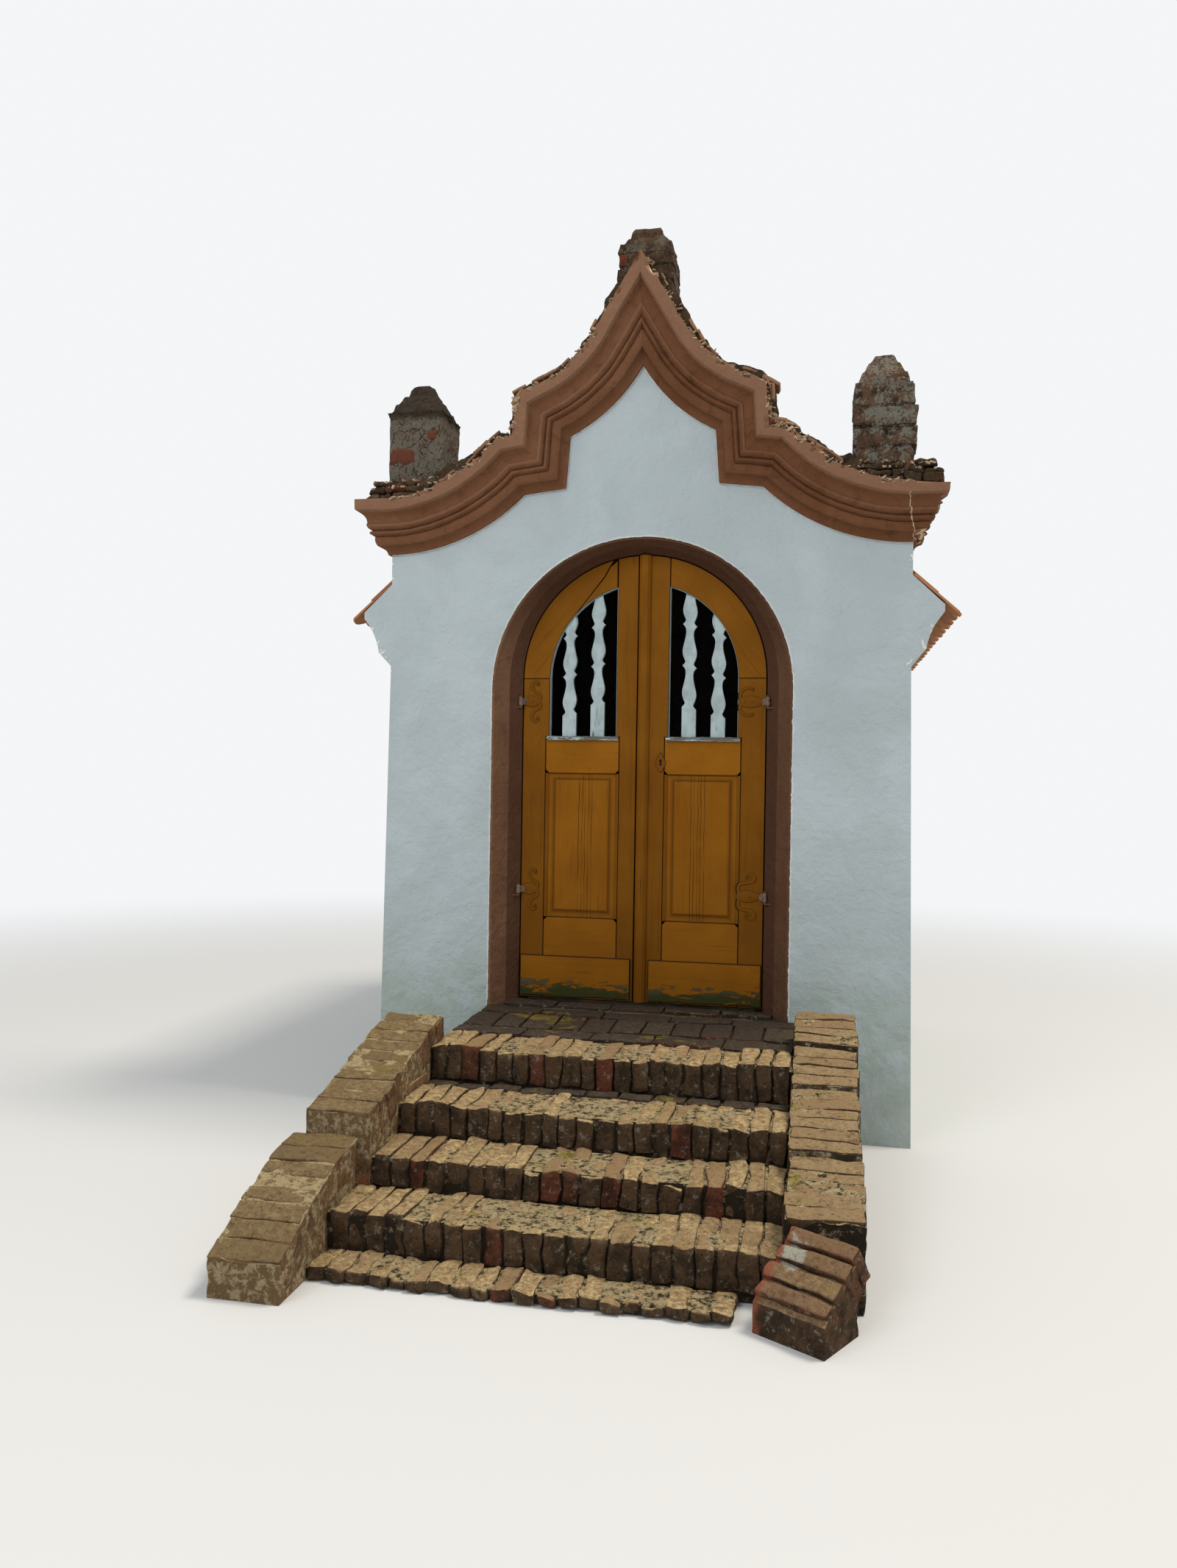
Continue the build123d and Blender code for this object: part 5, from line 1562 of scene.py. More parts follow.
@dataclass
class Pinnacle:
    """A square brick pinnacle: courses of two bricks, crossed in turn, or a crust over them, and a worn cap."""

    name: str
    x: float
    foot: float
    shaft: float
    cap: Pairs
    patches: tuple[tuple[float, float, float, float], ...] = ()
    wide: tuple[float, float] = (0.0, 0.0)
    red_left: float = 0.15
    size: float = 0.285
    courses: tuple[float, ...] = (0.25, 0.25, 0.25, 0.25)
    cap_shade: float = 0.3
    cap_wear: float = 0.0065
    wide_out: float = 0.018
    joint: Triple = (0.003, 0.003, 0.009)
    patch_depth: float = 0.056
    patch_y: float = 0.020

    def bricks(self, rng: Random, seed: int) -> Surface:
        """Two bricks a course, their long sides along X and along Y in turn; the wide courses stand out.

        Args:
            rng: Source of the small differences.
            seed: Which noise wears them.

        Returns:
            The bricks.
        """
        half = self.size / 2
        tops = self.foot + self.shaft * np.cumsum(self.courses)
        centres, sizes, shades = [], [], []
        for level, (top, course) in enumerate(zip(tops, self.shaft * np.array(self.courses))):
            z = top - course / 2
            out = self.wide_out if self.wide[0] < z < self.wide[1] else 0.0
            along_x = level % 2 == 0
            for side in (-0.5, 0.5):
                dx, dy = (out / 2, side * half) if along_x else (side * (half + out / 2) + out / 2, 0.0)
                centres.append((self.x + dx, half + dy, z))
                sizes.append((self.size + out, half, course) if along_x else (half + out / 2, self.size, course))
                red = not along_x and side < 0 and rng.random() < self.red_left
                shades.append(1.0 if red else rng.uniform(0.1, 0.6))
        moved = np.array(centres) + rng.normal(0, 0.002, (len(centres), 3)) * np.array([1.0, 0.6, 0.3])
        slim = np.array(sizes) - np.array(self.joint) - rng.uniform(0, 0.005, (len(sizes), 3))
        return FINE.laid(moved, slim, shades, None, 0.006, 0.005, seed)

    def core(self, seed: int) -> Surface:
        """The mortar of the joints, or the crust that hides the courses where it has been smeared over them.

        Args:
            seed: Which noise wears it.

        Returns:
            One block.
        """
        grow = 0.001 if self.patches else -0.009
        low = np.array([self.x - self.size / 2 - grow, -grow, self.foot - 0.02])
        high = np.array([self.x + self.size / 2 + grow, self.size + grow, self.foot + self.shaft])
        return FINEST.filled(low, high, 0.010, 0.005, seed)

    def top(self, seed: int) -> Surface:
        """The cap: square rings whose half width follows the cap's (height, half width) pairs, worn.

        Args:
            seed: Which noise wears it.

        Returns:
            The closed cap.
        """
        rise, half = np.array(self.cap).T
        t = np.unique(np.concatenate([rise, np.linspace(rise[0], rise[-1], 24)]))[:, None]
        side = np.linspace(-1, 1, 14, endpoint=False)
        one = np.ones(14)
        x, y = np.concatenate([side, one, -side, -one]), np.concatenate([-one, side, one, -side])
        width, foot = np.interp(t, rise, half), self.foot + self.shaft
        moved = shaken(points_of(self.x + x * width, self.size / 2 + y * width, foot + t), self.cap_wear, 0.045, seed)
        moved[..., 2] = np.minimum(moved[..., 2], foot + rise[-1])
        return tube(moved, self.cap_shade)

    def bare_patches(self, seed: int) -> Surface:
        """The places where the crust has fallen off and red brick shows, by centre and size on the front face.

        Args:
            seed: Which noise wears it.

        Returns:
            The bricks that show.
        """
        x, z, width, height = np.array(self.patches).T
        centres, sizes = points_of(x, self.patch_y, z), points_of(width, self.patch_depth, height)
        return FINE.laid(centres, sizes, np.ones(len(x)), None, 0.026, 0.006, seed)

    def build(self, masonry: Material, seed: int) -> None:
        """Makes core, cap and bricks or patches, which stand for the pinnacle's solid.

        Args:
            masonry: Its finish.
            seed: Starts the random draws and picks the noise.
        """
        shown = self.bare_patches(seed + 5) if self.patches else self.bricks(np.random.default_rng(seed), seed + 2)
        parts = [self.core(seed), self.top(seed + 3), shown]
        finished(f"{self.name}_masonry", Surface.joined(parts), "bare_masonry", masonry, (self.name,))


@dataclass
class Capping:
    """The broken capping over the moulding: a lumpy mortar bed, two layers of tile fragments, and crumbs."""

    line: GableLine = field(default_factory=GableLine)
    width: float = 0.26
    thickness: float = 0.060
    front: float = -0.10
    back: float = 0.30
    inner_x: float = 0.125
    outer_x: float = 1.03
    heap: float = 0.55
    slab_top: float = 3.262

    def bed(self, side: int, seed: int) -> Surface:
        """The mortar bed: a ring of front, top and back carried along the gable line and roughened.

        Args:
            side: 1 for the right half, -1 for the left.
            seed: Which noise to use.

        Returns:
            The closed bed.
        """
        lines = self.line.stations((self.width - 0.02, self.width + self.thickness), 2)
        low, high = lines[(lines[:, 1, 0] >= self.inner_x) & (lines[:, 0, 0] <= self.outer_x)].swapaxes(0, 1)
        thin = 0.72 + 0.28 * rough_noise(upright(high, 0.0), 0.09, seed)
        heaped = 1.0 + self.heap * smooth_step(high[:, 0], 0.72, 0.98)
        rise = (high - low) * (np.clip(thin, 0.35, 1.0) * heaped)[:, None]
        front = self.front + 0.01
        ring = [upright(low + rise * share, front) for share in (0.0, 0.33, 0.66)]
        ring += [upright(low + rise, depth) for depth in np.linspace(front, self.back, 14)] + [upright(low, self.back)]
        sections = shaken(np.stack(ring, axis=1), 0.007, 0.04, seed + 2)
        sections[..., 1] = np.clip(sections[..., 1], self.front - 0.02, self.back)
        sections[..., 0] *= side
        return tube(sections, 0.35)

    def fragments(self, side: int, rng: Random, seed: int) -> Surface:
        """Tile fragments lying along the line in two layers, their broken front edges standing past the bed.

        Args:
            side: 1 for the right half, -1 for the left.
            rng: Source of places, sizes and leans.
            seed: Which noise wears them.

        Returns:
            The fragments.
        """
        line = self.line.stations((self.width,), 4)[:, 0]
        travelled = np.concatenate([[0.0], np.cumsum(np.linalg.norm(np.diff(line, axis=0), axis=1))])
        inside = travelled[(line[:, 0] >= self.inner_x + 0.03) & (line[:, 0] <= self.outer_x)]
        start, end = inside[0], inside[-1]

        def at(way: Array) -> tuple[Array, Array]:
            """Both coordinates of the line's points, a way along it."""
            return np.interp(way, travelled, line[:, 0]), np.interp(way, travelled, line[:, 1])

        parts, step = [], 0.012
        for layer, lift in enumerate((0.008, 0.030)):
            places = np.arange(start + 0.03 * layer, end, 0.062 + 0.02 * layer)
            places = places + rng.normal(0, 0.012, len(places))
            places = places[(places > start) & (places < end) & (rng.random(len(places)) > 0.12 + 0.25 * layer)]
            count = len(places)
            (x, z), (x0, z0), (x1, z1) = at(places), at(places - step), at(places + step)
            fall = np.arctan2(z0 - z1, x1 - x0)
            depth = rng.uniform(0.09, 0.17, count)
            y = self.front - rng.uniform(-0.012, 0.016, count) + depth / 2
            up = lift + rng.uniform(0.0, 0.010, count)
            size = points_of(rng.uniform(0.055, 0.115, count), depth, rng.uniform(0.012, 0.020, count))
            turns = (turned(side * (fall + rng.normal(0, 0.10, count)), 1) @ turned(rng.normal(0, 0.12, count), 2)
                     @ turned(rng.normal(0, 0.05, count), 0))
            centre = points_of(side * (x + up * np.sin(fall)), y, z + up * np.cos(fall))
            parts.append(PLAIN.laid(centre, size, rng.uniform(0.45, 1.0, count), turns, 0.005, 0.005, seed + layer))
        return Surface.joined(parts)

    def crumbs(self, side: int, rng: Random, seed: int, count: int = 260, on_slab: int = 36) -> Surface:
        """Pale crumbs of mortar scattered along the moulding's upper edge and over the bed's front.

        Args:
            side: 1 for the right half, -1 for the left.
            rng: Source of places, sizes and leans.
            seed: Which noise wears them.
            count: Number of crumbs.
            on_slab: How many of them lie before the slab instead, and are smaller.

        Returns:
            The crumbs.
        """
        line = self.line.stations((self.width - 0.004, self.width + 0.035), 4)
        line = line[(line[:, 1, 0] > 0.02) & (line[:, 0, 0] < 1.30)]
        pick = rng.integers(0, len(line), count)
        up = rng.random(count)[:, None] ** 2.2 * (line[pick, 0, 0] < self.outer_x)[:, None]
        place = line[pick, 0] * (1 - up) + line[pick, 1] * up
        y = np.where(up[:, 0] > 0.25, self.front, self.front - 0.041) + rng.uniform(-0.006, 0.020, count)
        scale = rng.uniform(0.35, 1.0, (count, 1)) ** 1.5
        size = scale * rng.uniform([0.020, 0.012, 0.009], [0.050, 0.026, 0.018], (count, 3))
        turns = turned(rng.normal(0, 0.5, count), 1)
        a, b = rng.random((on_slab, 2)).T
        centre = points_of(side * place[:, 0], y, place[:, 1])
        size[:on_slab] *= np.array([0.6, 0.8, 0.9])
        height = self.slab_top - 0.030 * (b < 0.35) - 0.02 * a
        centre[:on_slab] = points_of(side * (self.outer_x + 0.37 * a), -0.092 + 0.03 * b**2, height)
        return CRUMB.laid(centre, size, rng.uniform(0.1, 1.0, count), turns, 0.006, 0.004, seed)

    def build(self, masonry: Material, tiles: Material, crumb: Material) -> None:
        """Makes beds, fragments and crumbs on both sides, which stand for the capping's solids.

        Args:
            masonry: Finish of the beds.
            tiles: Finish of the fragments.
            crumb: Finish of the crumbs.
        """
        rng = np.random.default_rng(97)
        pieces = {"bed": ([self.bed(1, 31), self.bed(-1, 47)], "bare_masonry", masonry),
                  "fragments": ([self.fragments(1, rng, 53), self.fragments(-1, rng, 59)], "roof_tile", tiles),
                  "crumbs": ([self.crumbs(1, rng, 63), self.crumbs(-1, rng, 69)], "bare_masonry", crumb)}
        for word, (parts, slot, material) in pieces.items():
            finished(f"capping_{word}", Surface.joined(parts), slot, material, ("gable_capping",))


@dataclass
class Slabs:
    """The slabs under the side pinnacles, each of three layers of rough stones.

    A layer is its bottom and top over the foot, how far it stops short, how far it stands back, and its stones.
    """

    inner_x: float = 1.02
    outer_x: float = 1.437
    front: float = -0.10
    back: float = 0.297
    foot: float = 3.150
    layers: tuple[tuple[float, float, float, float, int], ...] = (
        (-0.006, 0.042, 0.0, 0.0, 5), (0.038, 0.080, 0.008, 0.016, 4), (0.076, 0.113, 0.030, 0.030, 5))

    def build(self, masonry: Material) -> None:
        """Makes the stones of all layers on both sides, which stand for the slabs' solids.

        Args:
            masonry: Their finish.
        """
        rng = np.random.default_rng(67)
        centres, sizes = [], []
        for side in (1, -1):
            for low, high, short, behind, count in self.layers:
                middle, length = joints(self.inner_x - 0.02, self.outer_x - short, count, rng, 0.018)
                front = self.front + behind + rng.uniform(0.0, 0.022, count)
                rise = rng.uniform(-0.010, 0.0, count)
                centres.append(points_of(side * middle, (front + self.back) / 2, self.foot + (low + high + rise) / 2))
                sizes.append(points_of(length - 0.003, self.back - front, high - low + rise))
        centres, sizes = np.concatenate(centres), np.concatenate(sizes)
        shades = rng.choice([0.2, 0.4, 0.75], len(centres), p=[0.5, 0.35, 0.15])
        stones = FINE.laid(centres, sizes, shades, None, 0.012, 0.011, 71)
        finished("slab_stones", stones, "bare_masonry", masonry, ("pinnacle_slabs",))


@dataclass
class TiledRoof:
    """Plain tiles with rounded tails on both slopes, on boards, and half-round tiles on the ridge."""

    edge_x: float = 1.55
    tip_x: float = 1.46
    edge_z: float = 2.5046
    pitch: float = radians(43.5)
    front: float = 0.0
    parapet: float = 0.302
    rear: float = 3.03
    wall_x: float = 1.312
    tile_width: float = 0.178
    tile_length: float = 0.300
    tile_thickness: float = 0.0105
    tail_radius: float = 0.150
    gauge: float = 0.155
    ridge_z: float = 3.986
    ridge_ends: tuple[float, float] = (-30.0, 210.0)
    board_thickness: float = 0.010
    board_count: int = 13

    def run(self, x: float) -> float:
        """The way along a slope that covers a distance across."""
        return x / cos(self.pitch)

    def on_slope(self, along: Array, depth: Array, lift: Array | float, side: int) -> Array:
        """Places on a slope: along it from the eaves, at a depth Y, lifted square off its underside.

        Args:
            along: Metres along the slope from the eaves.
            depth: Y of each place.
            lift: Metres off the slope's underside.
            side: 1 for right, -1 for left.

        Returns:
            Places, shape (..., 3).
        """
        x = self.edge_x - along * cos(self.pitch) + lift * sin(self.pitch)
        z = self.edge_z + along * sin(self.pitch) + lift * cos(self.pitch)
        return points_of(side * x, depth, z)

    def under(self, thickness: float, side: int) -> Array:
        """From a plate's top to its underside, square to the slope."""
        return -np.array([side * sin(self.pitch), 0.0, cos(self.pitch)]) * thickness

    def tiles(self, side: int, rng: Random) -> Surface:
        """Double-lapped rows, each half a tile across from the last, each tile a little out of line.

        A tile's tail is a circular arc across its width; every tile rests on the row below, so its tail is
        lifted by two thicknesses over its length.

        Args:
            side: 1 for the right slope, -1 for the left.
            rng: Source of the small differences.

        Returns:
            The slope's tiles.
        """
        reach = self.run(self.edge_x) - 0.075
        laid = []
        for row, tail in enumerate(np.arange(0.0385, reach - 0.06, self.gauge)):
            start = self.front if tail + 0.10 < self.run(self.edge_x - self.wall_x) else self.parapet
            first = self.front + (self.tile_width / 2 if row % 2 else 0.0)
            edges = np.append(np.arange(first, self.rear - 0.02, self.tile_width), self.rear)
            if row % 2:
                edges = np.insert(edges, 0, self.front)
            left, right = np.maximum(edges[:-1], start), edges[1:]
            laid += [(tail, (a + b) / 2, b - a - 0.003) for a, b in zip(left, right) if b - a > 0.05]
        tails, middles, widths = np.array(laid).T[..., None, None]
        count = len(tails)
        across, down = np.linspace(-1, 1, 9), np.array([0.0, 0.12, 0.45, 1.0])[:, None]
        off = across * widths / 2
        curve = self.tail_radius - np.sqrt(np.maximum(self.tail_radius**2 - off**2, 0.0))
        jitter = rng.normal(0, 0.003, count)[:, None, None]
        skew = rng.normal(0, 0.010, count)[:, None, None]
        way = curve * (1 - down) + np.minimum(self.tile_length, reach - tails) * down
        depth = np.clip(middles + off - skew * way, self.front + 0.001, self.rear - 0.001)
        rise = 0.5 + 0.5 * smooth_step(depth, self.front, self.front + 0.25)
        along = tails + way + np.maximum(jitter, 0) + skew * off - 0.018 * (1 - rise) * (1 - way / self.tile_length)
        crown = 0.004 * (1 - across**2)
        lift = 0.013 + (0.019 - 0.020 * way / self.tile_length) * rise + (crown + np.abs(jitter) * 0.6) * rise
        shade = np.clip(rng.normal(0.58, 0.28, count), 0, 1)
        return slabs(self.on_slope(along, depth, lift, side), self.under(self.tile_thickness, side), shade)

    def boards(self, side: int) -> Surface:
        """The boarding under the tiles, which shows from the room.

        Args:
            side: 1 for the right slope, -1 for the left.

        Returns:
            The slope's boards.
        """
        edges = np.linspace(self.run(self.edge_x - self.tip_x), self.run(self.edge_x) - 0.01, self.board_count + 1)
        plates = []
        for a, b in zip(edges[:-1], edges[1:]):
            beside = b < self.run(self.edge_x - self.wall_x) + 0.16 and a < 0.2
            y0, y1 = self.front + 0.08 if beside else self.parapet, self.rear - 0.02
            top = self.on_slope(np.array([[a, b - 0.004]] * 2), np.array([[y0, y0], [y1, y1]]), 0.0105, side)
            plates.append(slabs(top[None], self.under(self.board_thickness, side), [0.4]))
        return Surface.joined(plates)

    def ridge(self, rng: Random) -> Surface:
        """Half-round tiles end to end, each ring wider at its lapping end.

        Args:
            rng: Source of the tiles' shades.

        Returns:
            The ridge's tiles.
        """
        turn = np.linspace(*np.radians(self.ridge_ends), 25)
        middle = np.array([0.0, 0.0, self.ridge_z])
        hollow = np.array([0.86, 1.0, 0.86])
        parts = []
        edges = np.linspace(self.parapet, self.rear - 0.004, 8)
        for y0, y1 in zip(edges[:-1], edges[1:]):
            radius = np.array([0.1085, 0.1085, 0.103, 0.101])[:, None]
            y = np.array([y0, y0 + 0.035, y0 + 0.04, min(y1 + 0.03, self.rear - 0.003)])[:, None]
            outer = points_of(radius * np.cos(turn), y, self.ridge_z + radius * np.sin(turn))
            ring = np.concatenate([outer, ((outer - middle) * hollow + middle)[:, ::-1]], axis=1)
            parts.append(tube(shaken(ring, 0.0015, 0.08, 17), float(rng.uniform(0.2, 0.8))))
        return Surface.joined(parts)

    def build(self, tile: Material, wood: Material) -> None:
        """Makes tiles, boards and ridge, which stand for the roof's solids.

        Args:
            tile: Finish of tiles and ridge.
            wood: Finish of the boards.
        """
        rng = np.random.default_rng(23)
        for side, word in ((1, "right"), (-1, "left")):
            slope = (f"roof_slope_{word}",)
            finished(f"roof_tiles_{word}", self.tiles(side, rng), "roof_tile", tile, slope)
            finished(f"roof_boards_{word}", self.boards(side), "roof_tile", wood, slope)
        finished("ridge_covers", self.ridge(rng), "roof_tile", tile, ("ridge_tiles",))


class DoorFinishes:
    """The finishes of the doors, built once and shared by both leaves."""

    def __init__(self) -> None:
        """Builds one finish for each way of the grain and each paint."""
        self.upright = OchrePaint(tone=0.86).build()
        self.split = OchrePaint(cracks=(0.262, 0.279, 0.298, 0.312, 0.331), tone=1.12).build()
        self.across = OchrePaint(Grain.ACROSS, tone=1.22).build()
        self.rising_left = OchrePaint(Grain.RISING_LEFT, tone=0.92).build()
        self.rising_right = OchrePaint(Grain.RISING_RIGHT, tone=0.95).build()
        self.worn = OchrePaint(Grain.ACROSS, wear_top=0.80, tone=1.28).build()
        self.white = WhitePaint().build()
        self.white_across = WhitePaint(Grain.ACROSS, flaking=0.52).build()
        self.iron = OldIron().build()
        self.knuckle = OldIron("knuckle_iron", (0.200, 0.145, 0.105), (0.050, 0.026, 0.017), rust_from=0.52,
                               rust_share=0.8).build()
        # A near-black plate, painted shade inside the keyhole.
        self.hole = PlainGround("keyhole_painted_shade", (0.004, 0.004, 0.004), (0.008, 0.007, 0.006)).build()


def spline(points: Array, fine: int) -> Array:
    """A smooth curve through points: the cubic a + bt + ct^2 + dt^3 of each span from its four nearest points.

    Args:
        points: Points to pass through, shape (n, 2).
        fine: Steps in each span.

    Returns:
        Points on the curve, shape ((n - 1) * fine + 1, 2).
    """
    padded = np.concatenate([[2 * points[0] - points[1]], points, [2 * points[-1] - points[-2]]])
    p0, p1, p2, p3 = padded[:-3, None], padded[1:-2, None], padded[2:-1, None], padded[3:, None]
    t = np.linspace(0, 1, fine, endpoint=False)[None, :, None]
    curve = p1 + 0.5 * t * (p2 - p0 + t * (2 * p0 - 5 * p1 + 4 * p2 - p3 + t * (3 * (p1 - p2) + p3 - p0)))
    return np.concatenate([curve.reshape(-1, 2), points[-1:]])


@dataclass(frozen=True)
class Strap:
    """One forged hinge plate, measured in from the leaf's edge: its plate, its arm with half widths, its nails."""

    plate: Pairs
    arm: tuple[Triple, ...]
    nails: tuple[float, ...]


SMALL_PLATE = ((0.004, 0.011), (0.012, 0.016), (0.024, 0.027), (0.042, 0.031), (0.062, 0.027), (0.078, 0.017),
               (0.090, 0.012))
WIDE_PLATE = ((0.004, 0.012), (0.020, 0.015), (0.045, 0.025), (0.070, 0.030), (0.098, 0.029), (0.118, 0.023),
              (0.128, 0.018))
SMALL_ARM = ((0.084, 0.008, 0.008), (0.091, 0.026, 0.008), (0.080, 0.038, 0.0075), (0.063, 0.046, 0.0075),
             (0.051, 0.060, 0.0085), (0.044, 0.080, 0.009), (0.050, 0.097, 0.008), (0.065, 0.104, 0.007),
             (0.078, 0.098, 0.006), (0.075, 0.088, 0.0055))
WIDE_ARM = ((0.121, 0.014, 0.009), (0.124, 0.044, 0.009), (0.116, 0.061, 0.0085), (0.092, 0.067, 0.0085),
            (0.065, 0.072, 0.010), (0.048, 0.083, 0.0115), (0.046, 0.099, 0.0115), (0.057, 0.110, 0.009),
            (0.073, 0.109, 0.007), (0.080, 0.097, 0.006))
SHORT_ARM = ((0.126, 0.012, 0.009), (0.130, 0.032, 0.0085), (0.122, 0.052, 0.008), (0.104, 0.065, 0.0075),
             (0.082, 0.069, 0.0065), (0.068, 0.062, 0.0055))
STRAPS = {"left": (Strap(SMALL_PLATE, SMALL_ARM, (0.026,)), Strap(SMALL_PLATE, SMALL_ARM, (0.052,))),
          "right": (Strap(WIDE_PLATE, WIDE_ARM, (0.066,)), Strap(WIDE_PLATE, SHORT_ARM, (0.068, 0.109)))}
STRAP_HEIGHTS = (1.160, 2.135)
NAIL = ((0.0058, 0.0), (0.0056, 0.0014), (0.0040, 0.0026), (0.0012, 0.0032))
EYE_PLAN = np.array([(0.606, 0.1255), (0.606, 0.130), (0.6205, 0.130), (0.634, 0.1155), (0.629, 0.0985),
                     (0.6225, 0.1005), (0.6215, 0.114), (0.611, 0.1255)])
EYE_LEVELS = ((0.92, -0.0165), (1.0, -0.0155), (1.0, 0.0155), (0.92, 0.0165))
KNUCKLE = ((0.0098, -0.0215), (0.0108, -0.0200), (0.0108, -0.0060), (0.0102, -0.0050), (0.0102, 0.0050),
           (0.0108, 0.0060), (0.0108, 0.0200), (0.0098, 0.0215), (0.0064, 0.0215), (0.0064, -0.0215))
PIN = (0.633, 0.105)
TURN = np.linspace(0, 2 * pi, 24, endpoint=False)
VASE = np.array([(0.0, 1.0), (0.03, 0.78), (0.085, 0.58), (0.13, 0.66), (0.18, 0.80), (0.26, 0.95), (0.34, 1.01),
                 (0.42, 0.96), (0.50, 0.85), (0.60, 0.71), (0.70, 0.59), (0.80, 0.53), (0.88, 0.56), (0.94, 0.72),
                 (0.975, 0.90), (1.0, 1.0)])


@dataclass
class Leaf:
    """One door leaf, drawn for the right side and mirrored for the left."""

    side: int
    inner: float
    finish: DoorFinishes
    feet: tuple[float, float] = (0.149, 0.106)
    vases: tuple[float, float] = (0.210, 0.203)
    face: float = 0.130
    thickness: float = 0.045
    radius: float = 0.6245
    stile: float = 0.1395
    light_x: float = 0.135
    spring: float = 2.254
    foot: float = 0.600
    light_foot: float = 1.955
    panel_top: float = 1.764
    panel_foot: float = 1.020
    shoulder: float = 0.018
    gap: float = 0.0012
    uneven: float = 0.007
    baluster_x: tuple[float, float] = (0.236, 0.384)
    baluster_half: float = 0.036
    kick_foot: float = 0.606
    kick_top: float = 0.820
    keyhole: tuple[float, float] = (0.098, 1.826)
    baluster_depths: tuple[float, float] = (0.0125, 0.0325)
    kick_thickness: float = 0.014
    curl: float = 0.0075
    arm_lift: float = 0.005
    plate_lift: float = 0.0052
    nail_lift: float = 0.0048

    def __post_init__(self) -> None:
        """Works out the side's name, the back face, the light's radius and the arch's centre."""
        self.word = "right" if self.side > 0 else "left"
        self.back = self.face + self.thickness
        self.light_r = self.radius - self.stile
        self.centre = (0.0, self.spring)

    def piece(self, name: str, parts: list[Surface], slot: str, material: Material, nodes: tuple[str, ...] = (),
              crease: float = 40.0) -> None:
        """A piece of this leaf, mirrored to its side, which stands for the named solids.

        Args:
            name: Its name, without the side.
            parts: What it is made of, drawn for the right side.
            slot: The record's material slot.
            material: Its finish.
            nodes: The solids that it stands for, without the side.
            crease: Edges that bend more than this many degrees stay sharp.
        """
        surface = Surface.joined(parts)
        finished(f"{name}_{self.word}", surface if self.side > 0 else surface.mirrored(), slot, material,
                 tuple(f"{node}_{self.word}" for node in nodes), f"{self.word}_leaf", crease)

    def boards(self, outlines: list[Array], bevel: float = 0.0015) -> list[Surface]:
        """Boards as thick as the leaf, one per outline."""
        return [board(outline, self.face, self.back, bevel) for outline in outlines]

    def frame(self) -> None:
        """Stiles and rails, each its own board with fine joints between, and the edges round the panel."""
        g, cut, light_x, light_z = self.gap, self.shoulder, self.light_x, self.light_foot
        inner_top = arc(self.centre, self.radius, pi / 2 - np.arcsin(light_x / self.radius),
                        pi / 2 - np.arcsin(max(self.inner, -0.03) / self.radius), 14)
        left, right = light_x - cut, self.light_r + cut
        meeting = np.concatenate([[(light_x - g, light_z), (light_x - g, inner_top[0, 1] - 0.001)], inner_top[1:],
                                  [(self.inner + 0.002, self.foot), (left - g, self.foot), (left - g, light_z)]])
        outer = [(self.light_r + g, light_z), (self.light_r + g, self.spring - g), (self.radius, self.spring - g),
                 (self.radius, self.foot), (right + g, self.foot), (right + g, light_z)]
        self.piece("stiles", self.boards([meeting, outer]), "door_paint", self.finish.upright, ("leaf_frame",))
        rails = []
        for end, edge, way in ((light_z - 0.001, self.panel_top, 1), (self.foot, self.panel_foot, -1)):
            rails.append([(left, end), (left, edge + way * cut), (left + cut, edge), (right - cut, edge),
                          (right, edge + way * cut), (right, end)])
        self.piece("rails", self.boards(rails, 0.0025), "door_paint", self.finish.across, ("leaf_frame",))
        strips = []
        for x0, x1 in ((left + g, light_x), (right - g, self.light_r)):
            plan = np.array([(x0, self.face + 0.0015), (x1, self.face + 0.010), (x1, self.back), (x0, self.back)])
            rings = np.stack([points_of(*plan.T, z) for z in (self.panel_foot, self.panel_top)])
            strips.append(tube(rings, np.tile([0.5, 0.5, 0.38, 0.38], 2)))
        self.piece("panel_edges", strips, "door_paint", self.finish.upright, ("leaf_frame",))

    def head(self) -> None:
        """The arch board; the left one has split along its grain."""
        x = self.light_x + self.gap
        outer = arc(self.centre, self.radius, 0.0, np.arccos(x / self.radius), 40)
        inner = arc(self.centre, self.light_r, np.arccos(x / self.light_r), 0.0, 34)
        if self.side > 0:
            outlines, grain = [np.concatenate([outer, inner])], self.finish.rising_left
        else:
            near, edge, split = np.array([(0.205, 2.775), (0.178, 2.825)]), (0.138, 2.856), 14
            low = np.concatenate([outer[:-1], near[::-1] + self.gap, inner[split:]])
            high = np.concatenate([[edge], [(edge[0], inner[0, 1])], inner[1:split], near - self.gap])
            outlines, grain = [low, high], self.finish.rising_right
        self.piece("arch_board", self.boards(outlines), "door_paint", grain, ("leaf_frame",))

    def light_bead(self) -> None:
        """The white inner edge of the light: a thin strip carried round its outline."""
        top = arc(self.centre, self.light_r, np.arccos(self.light_x / self.light_r), 0.0, 40)
        path = np.concatenate([top[1:], [(self.light_r, self.light_foot), (self.light_x, self.light_foot)], top[:1]])
        levels = ((0.0, 0.006), (0.0, 0.041), (0.0016, 0.041), (0.0016, 0.007))
        grid = np.stack([upright(inset(path, d), self.face + y) for d, y in levels])
        bead = Surface.of(grid, grid_faces(4, len(path), wrap_rows=True, wrap_columns=True))
        self.piece("light_bead", [bead], "white_paint", self.finish.white)

